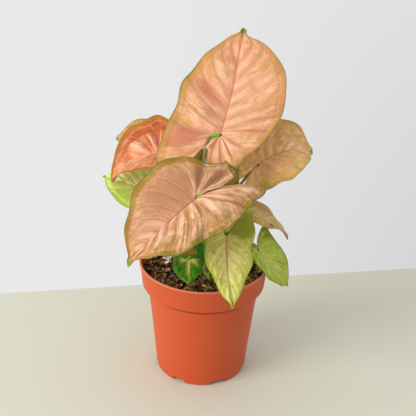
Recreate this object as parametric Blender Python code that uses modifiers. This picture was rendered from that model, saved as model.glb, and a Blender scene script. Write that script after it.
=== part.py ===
"""Potted syngonium: a round nursery pot of soil with three short stems and twelve arrow-shaped
leaves. Each leaf is a thin blade that sits on its own bent stalk.

Lengths in the tables are millimetres and angles are degrees. The scene is built in metres, with
the origin at the centre of the pot's base and +Z up.
"""

import math

import bmesh
import bpy
import numpy as np
from mathutils import Euler, Vector

MM = 0.001
OBJECT = "potted_syngonium"

# ---------------------------------------------------------------- pot
POT_HEIGHT = 97.0
RIM_RADIUS = 52.0
BAND_BOTTOM_RADIUS = 49.4
BAND_BOTTOM_Z = 77.5
BODY_TOP_RADIUS = 45.0
BODY_TOP_Z = 74.5
BASE_RADIUS = 36.9
POT_WALL = 1.3
POT_FLOOR = 2.0
POT_SEGMENTS = 64
NOTCH_WIDTH = 12.0
NOTCH_HEIGHT = 3.2
NOTCH_DEPTH = 6.0
NOTCH_ANGLES = (-118.0, -67.0, -16.0, 36.0, 87.0, 139.0, 190.0)

# ---------------------------------------------------------------- soil
CLEARANCE = 0.3
SOIL_BOTTOM_Z = POT_FLOOR + CLEARANCE
SOIL_TOP_Z = 86.5
SOIL_RINGS = (0.0, 0.22, 0.44, 0.64, 0.82, 1.0)
SOIL_SEGMENTS = 40
SOIL_LUMP = 1.1

# ---------------------------------------------------------------- stems
STEM_RADIUS = 3.2
STEM_DEPTH = 12.0
STEM_SEGMENTS = 14
STEMS = (  # centre x, centre y, top z
    (6.0, 8.0, 106.0),
    (-11.0, 4.0, 103.0),
    (2.0, -11.0, 101.0),
)

# ---------------------------------------------------------------- leaves
BLADE_THICKNESS = 0.8
SPINE_SAMPLES = 400
LOBE_FALL = 12.0  # the lobes take up their droop over this many millimetres
SEAM_START = 0.42  # share of the margin that belongs to the lobe
SEAM_POWER = 1.35  # crowds the side veins towards the base
PETIOLE_BASE_RADIUS = 1.9
PETIOLE_TIP_RADIUS = 1.15
PETIOLE_POINTS = 13
PETIOLE_BASE_Z = 89.5
PETIOLE_SPREAD = 0.28  # how far a stalk leans out as it leaves the stem

# One half of a blade: width, lobe tip across, lobe tip along, then the margin's widths at the
# lobe's flank, the waist, the shoulder and near the tip as shares of the width, then the angle at
# which the half rises from the midrib and the further angle by which it curls. Where the notch
# between the lobes is nearly closed, two points across and along give its inner margin.
LEAVES = {
    "top": dict(
        at=(9, 12, 199), heading=-14, pitch=27, roll=6, length=115, bend=-11, droop=15,
        sweep=-7, twist=4, rows=24, columns=4,
        right=(43.5, 24, -46, 0.55, 0.85, 0.90, 0.58, 9, -5),
        left=(43, 40, -35, 1.0, 0.98, 0.76, 0.47, 4, -14),
        right_sinus=((-7, -13), (0, -38)), left_sinus=((8, -9), (18, -33)),
        stem=0, side=100, arrive=(0.42, 0.15, 0.9), girth=1.25),
    "front": dict(
        at=(-6, -45, 172), heading=114, pitch=-34, roll=-24, length=69, bend=-4, droop=35,
        sweep=-10, twist=-23, rows=22, columns=4,
        right=(41.5, 12.5, -39, 0.54, 0.93, 0.78, 0.50, 12, -2),
        left=(40, 24, -43, 0.88, 1.06, 0.78, 0.32, 23, -22),
        right_sinus=((-2.0, -8), (-2.4, -19), (4.5, -33)), left_sinus=((3.2, -9), (8, -24)),
        stem=2, side=182, arrive=(-0.6, -0.65, 0.45), girth=1.15),
    "left": dict(
        at=(-37, 18, 179), heading=79, pitch=-13, roll=-11, length=52, bend=49, droop=8,
        sweep=-4, twist=-10, rows=16, columns=4,
        right=(32.5, 20, -13, 0.86, 1.03, 0.83, 0.63, 36, 14),
        left=(21.5, 15, -5, 0.84, 1.0, 0.80, 0.50, 7, -21),
        left_sinus=((1.8, -0.8), (6.5, -2.6)),
        stem=1, side=138, arrive=(-0.45, -0.5, 0.7), girth=1.0),
    "left_back": dict(
        at=(-39, 51, 174), heading=74, pitch=12, roll=-7, length=41, bend=24, droop=10,
        sweep=1, twist=3, rows=16, columns=3,
        right=(25.5, 17, -10, 0.79, 0.97, 0.86, 0.61, 22, -2),
        left=(19, 15, -11, 0.80, 0.92, 0.81, 0.54, 15, -2),
        stem=1, side=88, arrive=(-0.6, 0.3, 0.75), girth=0.95),
    "left_low": dict(
        at=(-39, 29, 137.5), heading=82, pitch=24, roll=-16, length=49, bend=17, droop=19,
        sweep=0, twist=-2, rows=16, columns=3,
        right=(25, 16, -10, 0.80, 0.90, 0.87, 0.58, 15, -4),
        left=(24.5, 18, -12, 0.82, 0.89, 0.84, 0.50, 3, -16),
        stem=1, side=190, arrive=(-0.6, 0.3, 0.75), girth=0.95),
    "right": dict(
        at=(40, 24, 170), heading=-81, pitch=47, roll=9, length=50, bend=76, droop=2,
        sweep=0, twist=-7, rows=18, columns=4,
        right=(30, 16, -19, 0.80, 0.95, 0.79, 0.50, 3, -35),
        left=(35.5, 12, -19, 0.85, 1.04, 0.86, 0.65, 21, 3),
        stem=0, side=30, arrive=(0.6, 0.2, 0.78), girth=1.1),
    "right_middle": dict(
        at=(29, 0, 144.5), heading=-84, pitch=-11, roll=6, length=50, bend=52, droop=17,
        sweep=1, twist=16, rows=16, columns=3,
        right=(18, 15, -10, 0.78, 0.90, 0.63, 0.48, 3, -23),
        left=(18, 14, -9, 0.76, 0.92, 0.84, 0.51, 7, -3),
        stem=0, side=-24, arrive=(0.75, 0.0, 0.65), girth=0.95),
    "right_low": dict(
        at=(42, -12, 114), heading=-102, pitch=-44, roll=16, length=39, bend=10, droop=4,
        sweep=0, twist=3, rows=16, columns=3,
        right=(13.5, 10, -9, 0.81, 0.78, 0.86, 0.58, 7, -10),
        left=(18, 14.5, -11.5, 0.86, 1.03, 0.79, 0.53, 16, 3),
        stem=0, side=-78, arrive=(0.9, -0.15, 0.2), girth=0.9),
    "centre": dict(
        at=(16, -40, 142), heading=181, pitch=-36, roll=-1, length=58, bend=3, droop=14,
        sweep=-5, twist=1, rows=16, columns=3,
        right=(16.5, 14.5, -13, 0.93, 1.03, 0.67, 0.42, 14, -7),
        left=(18.7, 19.5, -26, 1.05, 1.15, 0.63, 0.37, 11, -11),
        stem=2, side=-42, arrive=(0.2, -0.75, 0.6), girth=1.0),
    "small": dict(
        at=(-12, -33, 114), heading=182, pitch=-25, roll=-1, length=20, bend=10, droop=10,
        sweep=0, twist=1, rows=12, columns=2,
        right=(11.3, 8.5, -6, 0.98, 0.98, 0.74, 0.46, 11, -3),
        left=(11.3, 8.5, -5, 0.97, 0.97, 0.74, 0.46, 10, -3),
        stem=2, side=-136, arrive=(-0.3, -0.8, 0.45), girth=0.6),
    "young_brown": dict(
        at=(-9.3, -23, 116.5), heading=96, pitch=2, roll=-34, length=9.5, bend=10, droop=10,
        sweep=0, twist=0, rows=10, columns=2,
        right=(4.6, 3, -2.2, 0.92, 0.94, 0.92, 0.72, 12, -5),
        left=(4.6, 3, -2.2, 0.92, 0.94, 0.92, 0.72, 12, -5),
        stem=1, side=-72, arrive=(0.1, -0.6, 0.75), girth=0.5),
    "young_green": dict(
        at=(-0.8, -19.5, 121), heading=186, pitch=-48, roll=0, length=15, bend=12, droop=10,
        sweep=0, twist=0, rows=10, columns=2,
        right=(6.0, 4.5, -3, 0.90, 0.92, 0.80, 0.50, 12, -5),
        left=(6.0, 4.5, -3, 0.90, 0.92, 0.80, 0.50, 12, -5),
        stem=2, side=-88, arrive=(0.0, -0.6, 0.75), girth=0.5),
}

COLOURS = {
    "pot": (0.58, 0.15, 0.06),
    "soil": (0.045, 0.028, 0.018),
    "stem": (0.20, 0.28, 0.07),
    "petiole": (0.32, 0.42, 0.10),
    "pink": (0.80, 0.42, 0.29),
    "salmon": (0.80, 0.28, 0.15),
    "beige": (0.50, 0.30, 0.14),
    "light_green": (0.40, 0.50, 0.14),
    "green": (0.26, 0.40, 0.05),
    "dark_green": (0.03, 0.14, 0.01),
}
BLADE_COLOUR = {
    "top": "pink", "front": "pink", "left": "salmon", "left_back": "beige",
    "left_low": "light_green", "right": "beige", "right_middle": "beige", "right_low": "green",
    "centre": "light_green", "small": "dark_green", "young_brown": "beige",
    "young_green": "dark_green",
}


def clear_scene():
    for thing in list(bpy.data.objects):
        bpy.data.objects.remove(thing, do_unlink=True)


def collection(name):
    made = bpy.data.collections.new(name)
    bpy.context.scene.collection.children.link(made)
    return made


def material(name, colour, roughness):
    made = bpy.data.materials.new(name)
    made.use_nodes = True
    shader = made.node_tree.nodes["Principled BSDF"]
    shader.inputs["Base Color"].default_value = (*colour, 1.0)
    shader.inputs["Roughness"].default_value = roughness
    return made


def add_object(name, data, into, surface):
    made = bpy.data.objects.new(name, data)
    into.objects.link(made)
    if surface is not None:
        data.materials.append(surface)
    return made


def mesh_from(name, points, faces):
    """A mesh in metres from points in millimetres, with coincident points made one."""
    mesh = bpy.data.meshes.new(name)
    mesh.from_pydata((np.asarray(points) * MM).tolist(), [], faces)
    work = bmesh.new()
    work.from_mesh(mesh)
    bmesh.ops.remove_doubles(work, verts=work.verts, dist=1e-6)
    bmesh.ops.dissolve_degenerate(work, edges=work.edges, dist=1e-7)
    work.to_mesh(mesh)
    work.free()
    return mesh


def cutter(name, mesh, into):
    made = add_object(name, mesh, into, None)
    made.hide_render = True
    made.display_type = "WIRE"
    return made


def subtract(target, tool, name):
    cut = target.modifiers.new(name, "BOOLEAN")
    cut.operation = "DIFFERENCE"
    cut.solver = "EXACT"
    cut.object = tool


# ---------------------------------------------------------------- pot
def pot_profile():
    """Half section in (radius, z), down the outside from the lip and back up the inside."""
    inner_floor_radius = BASE_RADIUS - POT_WALL - 0.4
    return (
        (RIM_RADIUS - 1.0, POT_HEIGHT),
        (RIM_RADIUS - 0.3, POT_HEIGHT),
        (RIM_RADIUS, POT_HEIGHT - 0.4),
        (RIM_RADIUS - 0.1, POT_HEIGHT - 1.6),
        (RIM_RADIUS - 0.5, POT_HEIGHT - 2.1),
        (BAND_BOTTOM_RADIUS, BAND_BOTTOM_Z + 0.4),
        (BAND_BOTTOM_RADIUS - 0.5, BAND_BOTTOM_Z - 0.2),
        (BODY_TOP_RADIUS + 0.5, BODY_TOP_Z + 0.7),
        (BODY_TOP_RADIUS, BODY_TOP_Z - 0.3),
        (BASE_RADIUS + 0.4, 1.6),
        (BASE_RADIUS, 0.5),
        (BASE_RADIUS - 0.7, 0.0),
        (0.0, 0.0),
        (0.0, POT_FLOOR),
        (inner_floor_radius, POT_FLOOR),
        (inner_floor_radius + 0.5, POT_FLOOR + 1.0),
        (BODY_TOP_RADIUS - POT_WALL, BODY_TOP_Z),
        (BAND_BOTTOM_RADIUS - POT_WALL, BAND_BOTTOM_Z),
        (RIM_RADIUS - POT_WALL, POT_HEIGHT - 0.8),
    )


def build_pot(into, cutters):
    profile = pot_profile()
    points = [(radius * MM, 0.0, z * MM) for radius, z in profile]
    on_axis = {i for i, (radius, _) in enumerate(profile) if radius == 0.0}
    count = len(points)
    edges = [(i, (i + 1) % count) for i in range(count)]
    edges = [edge for edge in edges if not set(edge) <= on_axis]
    mesh = bpy.data.meshes.new("nursery_pot")
    mesh.from_pydata(points, edges, [])
    pot = add_object("nursery_pot", mesh, into, material("pot_plastic", COLOURS["pot"], 0.5))
    screw = pot.modifiers.new("turn", "SCREW")
    screw.steps = POT_SEGMENTS
    screw.render_steps = POT_SEGMENTS
    screw.use_merge_vertices = True
    screw.merge_threshold = 1e-6
    for i, angle in enumerate(NOTCH_ANGLES):
        subtract(pot, notch_cutter(i, angle, cutters), f"drain_{i}")
    return pot


def notch_cutter(index, angle, into):
    """A block across the foot of the wall, 1 mm below the base up to the notch's roof."""
    size = (NOTCH_DEPTH, NOTCH_WIDTH, NOTCH_HEIGHT + 1.0)
    work = bmesh.new()
    bmesh.ops.create_cube(work, size=1.0)
    for vertex in work.verts:
        vertex.co = Vector([vertex.co[i] * size[i] for i in range(3)])
    turn = Euler((0.0, 0.0, math.radians(angle)))
    centre = Vector((BASE_RADIUS, 0.0, (NOTCH_HEIGHT - 1.0) / 2))
    for vertex in work.verts:
        vertex.co = (vertex.co + centre) * MM
        vertex.co.rotate(turn)
    mesh = bpy.data.meshes.new(f"notch_{index}")
    work.to_mesh(mesh)
    work.free()
    return cutter(f"notch_{index}", mesh, into)


# ---------------------------------------------------------------- soil
def inner_wall_radius(z):
    """Inside radius of the pot at height z."""
    heights = (POT_FLOOR + 1.0, BODY_TOP_Z, BAND_BOTTOM_Z, POT_HEIGHT)
    radii = (
        BASE_RADIUS - POT_WALL + 0.1,
        BODY_TOP_RADIUS - POT_WALL,
        BAND_BOTTOM_RADIUS - POT_WALL,
        RIM_RADIUS - POT_WALL,
    )
    return float(np.interp(z, heights, radii))


def lump(x, y):
    """Height of the soil's unevenness: three crossing waves of different lengths."""
    return SOIL_LUMP * (
        0.5 * np.sin(x / 7.3 + 1.1) * np.cos(y / 6.1)
        + 0.35 * np.sin((x + y) / 4.2 + 0.4)
        + 0.25 * np.cos((x - 2 * y) / 5.3)
    )


def build_soil(into, cutters):
    rings = [(0.0, SOIL_BOTTOM_Z)]
    for z in (SOIL_BOTTOM_Z, BODY_TOP_Z, BAND_BOTTOM_Z + 0.6, SOIL_TOP_Z):
        slack = 2.0 * CLEARANCE if z == SOIL_BOTTOM_Z else CLEARANCE + 0.1
        rings.append((inner_wall_radius(z) - slack, z))
    edge = rings[-1][0]
    rings += [(edge * share, SOIL_TOP_Z) for share in reversed(SOIL_RINGS[:-1])]
    turn = np.linspace(0.0, 2 * math.pi, SOIL_SEGMENTS, endpoint=False)
    points = []
    for i, (radius, z) in enumerate(rings):
        x = radius * np.cos(turn)
        y = radius * np.sin(turn)
        height = z + lump(x, y) if i > 4 else np.full_like(x, z)
        points.append(np.stack([x, y, height], axis=1))
    faces = []
    for i in range(len(rings) - 1):
        for j in range(SOIL_SEGMENTS):
            k = (j + 1) % SOIL_SEGMENTS
            a = i * SOIL_SEGMENTS
            b = a + SOIL_SEGMENTS
            faces.append((a + j, a + k, b + k, b + j))
    mesh = mesh_from("potting_soil", np.concatenate(points), faces)
    soil = add_object("potting_soil", mesh, into, material("peat_mix", COLOURS["soil"], 0.95))
    for i, (x, y, _) in enumerate(STEMS):
        bottom = SOIL_TOP_Z - STEM_DEPTH - CLEARANCE
        tool = round_bar(f"bore_{i}", x, y, bottom, SOIL_TOP_Z + 6.0, STEM_RADIUS + 2 * CLEARANCE)
        subtract(soil, cutter(f"bore_{i}", tool, cutters), f"stem_{i}")
    return soil


def round_bar(name, x, y, low, high, radius):
    work = bmesh.new()
    bmesh.ops.create_cone(
        work, cap_ends=True, segments=STEM_SEGMENTS, radius1=radius * MM, radius2=radius * MM,
        depth=(high - low) * MM)
    for vertex in work.verts:
        vertex.co += Vector((x, y, (low + high) / 2)) * MM
    mesh = bpy.data.meshes.new(name)
    work.to_mesh(mesh)
    work.free()
    return mesh


# ---------------------------------------------------------------- stems
def build_stem(index, into, surface):
    """A short upright stem: straight in the soil, with two swollen joints above it."""
    x, y, top = STEMS[index]
    bottom = SOIL_TOP_Z - STEM_DEPTH
    joints = (
        (bottom, 0.80), (bottom + 1.5, 0.98), (SOIL_TOP_Z, 1.0), (SOIL_TOP_Z + 4, 1.0),
        (SOIL_TOP_Z + 5.5, 0.88), (top - 7, 0.90), (top - 5, 0.98), (top - 3.5, 0.84),
        (top - 1, 0.62), (top, 0.30),
    )
    turn = np.linspace(0.0, 2 * math.pi, STEM_SEGMENTS, endpoint=False)
    points = [(x, y, bottom)]
    for z, share in joints:
        for angle in turn:
            radius = STEM_RADIUS * share
            points.append((x + radius * math.cos(angle), y + radius * math.sin(angle), z))
    points.append((x, y, top))
    last = len(points) - 1
    faces = []
    for j in range(STEM_SEGMENTS):
        k = (j + 1) % STEM_SEGMENTS
        faces.append((0, 1 + k, 1 + j))
        for i in range(len(joints) - 1):
            a = 1 + i * STEM_SEGMENTS
            b = a + STEM_SEGMENTS
            faces.append((a + j, a + k, b + k, b + j))
        a = 1 + (len(joints) - 1) * STEM_SEGMENTS
        faces.append((a + j, a + k, last))
    mesh = mesh_from(f"stem_{index + 1}", points, faces)
    return add_object(f"stem_{index + 1}", mesh, into, surface)


# ---------------------------------------------------------------- blades
def smooth_curve(points, count):
    """A centripetal Catmull-Rom curve through the points, at even steps along its length."""
    through = np.asarray(points, float)
    first = 2 * through[0] - through[1]
    final = 2 * through[-1] - through[-2]
    through = np.vstack([first, through, final])
    gaps = np.linalg.norm(np.diff(through, axis=0), axis=1) ** 0.5
    knots = np.concatenate([[0.0], np.cumsum(gaps)])
    at = np.linspace(knots[1], knots[-2], 40 * len(points))
    span = np.clip(np.searchsorted(knots, at, side="right") - 1, 1, len(through) - 3)
    k = [knots[span + i] for i in (-1, 0, 1, 2)]
    p = [through[span + i] for i in (-1, 0, 1, 2)]

    def between(first_point, second_point, low, high):
        share = ((at - low) / (high - low))[:, None]
        return first_point * (1 - share) + second_point * share

    a = [between(p[i], p[i + 1], k[i], k[i + 1]) for i in range(3)]
    b = [between(a[i], a[i + 1], k[i], k[i + 2]) for i in range(2)]
    curve = between(b[0], b[1], k[1], k[2])
    length = np.concatenate([[0.0], np.cumsum(np.linalg.norm(np.diff(curve, axis=0), axis=1))])
    even = np.linspace(0.0, length[-1], count)
    return np.stack([np.interp(even, length, curve[:, i]) for i in range(2)], axis=1)


def half_margin(leaf, side, count):
    """Margin of one half, laid flat, from the stalk round the lobe to the tip."""
    half = leaf["right"] if side > 0 else leaf["left"]
    length = leaf["length"]
    width, lobe_x, lobe_y, flank, waist, shoulder, taper = half[:7]
    open_sinus = ((0.22 * lobe_x, 0.45 * lobe_y), (0.62 * lobe_x, 0.90 * lobe_y))
    inner = leaf.get("right_sinus" if side > 0 else "left_sinus", open_sinus)
    return smooth_curve(
        (
            (0.0, 0.0),
            *inner,
            (lobe_x, lobe_y),
            (flank * width, 0.50 * lobe_y),
            (waist * width, 0.0),
            (0.98 * width, 0.20 * length),
            (width, 0.40 * length),
            (shoulder * width, 0.64 * length),
            (taper * width, 0.82 * length),
            (0.36 * taper * width, 0.94 * length),
            (0.0, length),
        ),
        count,
    )


def spine(y, leaf):
    """Where the midrib's line lies after bending: distance along, rise and slope at each y."""
    length = leaf["length"]
    table = np.linspace(-80.0, 1.05 * length, SPINE_SAMPLES)
    lobes = math.radians(leaf["droop"]) * (1 - np.exp(np.minimum(table, 0.0) / LOBE_FALL))
    slope = np.where(table > 0, -math.radians(leaf["bend"]) * table / length, lobes)

    def running(values):
        steps = (values[1:] + values[:-1]) / 2 * np.diff(table)
        total = np.concatenate([[0.0], np.cumsum(steps)])
        return total - np.interp(0.0, table, total)

    along = np.interp(y, table, running(np.cos(slope)))
    rise = np.interp(y, table, running(np.sin(slope)))
    return along, rise, np.interp(y, table, slope)


def blade_surface(x, y, side, leaf):
    """Points of the bent blade, in its own frame, for flat points x from the midrib and y along."""
    half = leaf["right"] if side > 0 else leaf["left"]
    width = half[0]
    fold = math.radians(half[7])
    curl = math.radians(half[8])
    turned = fold + curl * x / width
    across = side * (width / curl) * (np.sin(turned) - math.sin(fold))
    lift = (width / curl) * (math.cos(fold) - np.cos(turned))
    along, rise, slope = spine(y, leaf)
    share = np.maximum(y, 0.0) / leaf["length"]
    twist = math.radians(leaf["twist"]) * share
    out = across * np.cos(twist) - lift * np.sin(twist) + leaf["sweep"] * share**2
    up = across * np.sin(twist) + lift * np.cos(twist)
    return np.stack([out, along - np.sin(slope) * up, rise + np.cos(slope) * up], axis=-1)


def blade_axes(leaf):
    """The blade frame's axes as columns: across, along to the tip, and out of the upper side."""
    h, p, r = (math.radians(leaf[key]) for key in ("heading", "pitch", "roll"))
    turn_z = np.array([[math.cos(h), -math.sin(h), 0], [math.sin(h), math.cos(h), 0], [0, 0, 1]])
    turn_x = np.array([[1, 0, 0], [0, math.cos(p), -math.sin(p)], [0, math.sin(p), math.cos(p)]])
    turn_y = np.array([[math.cos(r), 0, math.sin(r)], [0, 1, 0], [-math.sin(r), 0, math.cos(r)]])
    return turn_z @ turn_x @ turn_y


def blade_half_grid(leaf, side):
    """Rows run from the midrib to the margin along the side veins, from the stalk to the tip."""
    rows = leaf["rows"]
    margin = half_margin(leaf, side, rows + 1)
    along = np.linspace(0.0, 1.0, rows + 1)
    on_rib = np.clip((along - SEAM_START) / (1 - SEAM_START), 0.0, 1.0) ** SEAM_POWER
    rib = np.stack([np.zeros(rows + 1), on_rib * leaf["length"]], axis=1)
    out = np.linspace(0.0, 1.0, leaf["columns"] + 1)[:, None, None]
    flat = rib[None] * (1 - out) + margin[None] * out
    bent = blade_surface(flat[..., 0], flat[..., 1], side, leaf)
    return bent @ blade_axes(leaf).T + np.array(leaf["at"], float)


def build_blade(name, leaf, into, surface):
    points = []
    faces = []
    for side in (1, -1):
        grid = blade_half_grid(leaf, side)
        start = len(points)
        columns, rows = grid.shape[:2]
        points.extend(grid.reshape(-1, 3).tolist())
        for i in range(columns - 1):
            for j in range(rows - 1):
                a = start + i * rows + j
                corners = (a, a + rows, a + rows + 1, a + 1)
                faces.append(corners if side > 0 else corners[::-1])
    mesh = mesh_from(f"leaf_{name}", points, faces)
    blade = add_object(f"leaf_{name}", mesh, into, surface)
    wall = blade.modifiers.new("thickness", "SOLIDIFY")
    wall.thickness = BLADE_THICKNESS * MM
    wall.offset = -1.0
    return blade


# ---------------------------------------------------------------- stalks
def petiole_path(leaf):
    """A cubic curve from beside the stem up to just under the blade's base, as points in mm."""
    x, y, _ = STEMS[leaf["stem"]]
    side = math.radians(leaf["side"])
    outward = np.array([math.cos(side), math.sin(side), 0.0])
    reach = STEM_RADIUS + CLEARANCE + PETIOLE_BASE_RADIUS * leaf["girth"]
    start = np.array([x, y, PETIOLE_BASE_Z]) + reach * outward
    leave = outward * PETIOLE_SPREAD + np.array([0.0, 0.0, 1.0])
    normal = blade_axes(leaf)[:, 2]
    arrive = np.array(leaf["arrive"], float)
    arrive /= np.linalg.norm(arrive)
    tilt = math.sqrt(max(0.0, 1.0 - float(arrive @ normal) ** 2))
    tip_radius = PETIOLE_TIP_RADIUS * leaf["girth"]
    drop = BLADE_THICKNESS + CLEARANCE + 0.05 + tip_radius * tilt
    end = np.array(leaf["at"], float) - normal * drop
    span = np.linalg.norm(end - start)
    handles = (start, start + leave * span * 0.38, end - arrive * span * 0.32, end)
    t = np.linspace(0.0, 1.0, PETIOLE_POINTS)[:, None]
    weights = ((1 - t) ** 3, 3 * t * (1 - t) ** 2, 3 * t**2 * (1 - t), t**3)
    return sum(w * h for w, h in zip(weights, handles))


def build_petiole(name, leaf, into, surface):
    curve = bpy.data.curves.new(f"petiole_{name}", "CURVE")
    curve.dimensions = "3D"
    curve.bevel_depth = MM
    curve.bevel_resolution = 2
    curve.use_fill_caps = True
    path = petiole_path(leaf)
    line = curve.splines.new("POLY")
    line.points.add(len(path) - 1)
    for i, point in enumerate(path):
        share = i / (len(path) - 1)
        radius = PETIOLE_BASE_RADIUS * (1 - share) + PETIOLE_TIP_RADIUS * share
        line.points[i].co = (*(point * MM), 1.0)
        line.points[i].radius = radius * leaf["girth"]
    return add_object(f"petiole_{name}", curve, into, surface)


def main():
    clear_scene()
    parts = collection(OBJECT)
    cutters = collection("cutters")
    build_pot(parts, cutters)
    build_soil(parts, cutters)
    stem_surface = material("stem_skin", COLOURS["stem"], 0.5)
    for index in range(len(STEMS)):
        build_stem(index, parts, stem_surface)
    stalk_surface = material("stalk_skin", COLOURS["petiole"], 0.45)
    for name, leaf in LEAVES.items():
        colour = COLOURS[BLADE_COLOUR[name]]
        build_blade(name, leaf, parts, material(f"lamina_{name}", colour, 0.45))
        build_petiole(name, leaf, parts, stalk_surface)


main()
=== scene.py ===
"""Looks of the potted syngonium: pink, salmon, beige and green arrow-shaped leaves on bent stalks,
in peat with perlite, in a terracotta-coloured nursery pot on a pale table.

Lengths in the tables are millimetres and angles are degrees; meshes are built in metres. Each leaf
is a closed skin of two halves. On a half, "along" runs from the stalk round the lobe to the tip,
"out" runs from the midrib to the margin, and "vein" counts the side veins.
"""

import math

import bmesh
import bpy
import numpy as np
from mathutils import Matrix, Vector


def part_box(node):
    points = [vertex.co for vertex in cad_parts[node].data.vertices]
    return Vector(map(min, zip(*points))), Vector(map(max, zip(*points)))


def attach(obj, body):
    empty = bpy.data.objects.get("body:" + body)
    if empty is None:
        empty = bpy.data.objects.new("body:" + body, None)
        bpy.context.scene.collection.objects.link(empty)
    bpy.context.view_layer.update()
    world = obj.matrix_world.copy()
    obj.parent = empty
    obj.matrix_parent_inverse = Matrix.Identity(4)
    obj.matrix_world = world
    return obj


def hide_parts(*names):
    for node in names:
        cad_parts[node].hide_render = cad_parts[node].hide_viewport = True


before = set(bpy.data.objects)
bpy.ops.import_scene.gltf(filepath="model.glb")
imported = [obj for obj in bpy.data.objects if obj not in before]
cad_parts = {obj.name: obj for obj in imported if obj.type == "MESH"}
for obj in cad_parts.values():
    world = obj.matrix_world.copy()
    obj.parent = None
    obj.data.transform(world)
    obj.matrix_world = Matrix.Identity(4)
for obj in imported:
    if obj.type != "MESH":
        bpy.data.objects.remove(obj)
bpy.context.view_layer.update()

MM = 0.001
MERGE = 2e-7  # metres between two points that are one

# -------------------- leaves
FULL_LENGTH = 60  # from here up a blade has its details at full size
SPINE_SAMPLES = 400
LOBE_FALL = 12.0  # within what length from the stalk the lobes bend down
SEAM_START = 0.42  # where, as a share of "along", the fan's last line leaves the stalk
SEAM_POWER = 1.9  # how much closer together the lines stand where the midrib begins
VEIN_SPREAD = 1.35  # how much wider apart the side veins stand towards the tip
VEIN_LEAN = 0.07  # how far a side vein sweeps towards the tip on its way out
COLLECTOR = 0.88  # where the vein that follows the margin runs, as a share of "out"
BRIM_START, BRIM_WIDTH = 0.84, 0.16  # where the skin turns up, as shares of "out"
PLEAT_STRENGTHS = (0.35, 1.45)  # least and most, from one pleat to the next
THICKNESS, RIB_THICKNESS, VEIN_THICKNESS = 0.38, 0.9, 0.2  # the skin's, and what veins add
TIP_PINCH, PINCH_LENGTH = 0.945, 0.034  # where the tip narrows, as shares of the length
HALF = {1: "right", -1: "left"}  # a half by its side
FACTS = ("along", "rib", "stalk", "lively", "tone", "green", "under")  # what a finish reads

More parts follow.
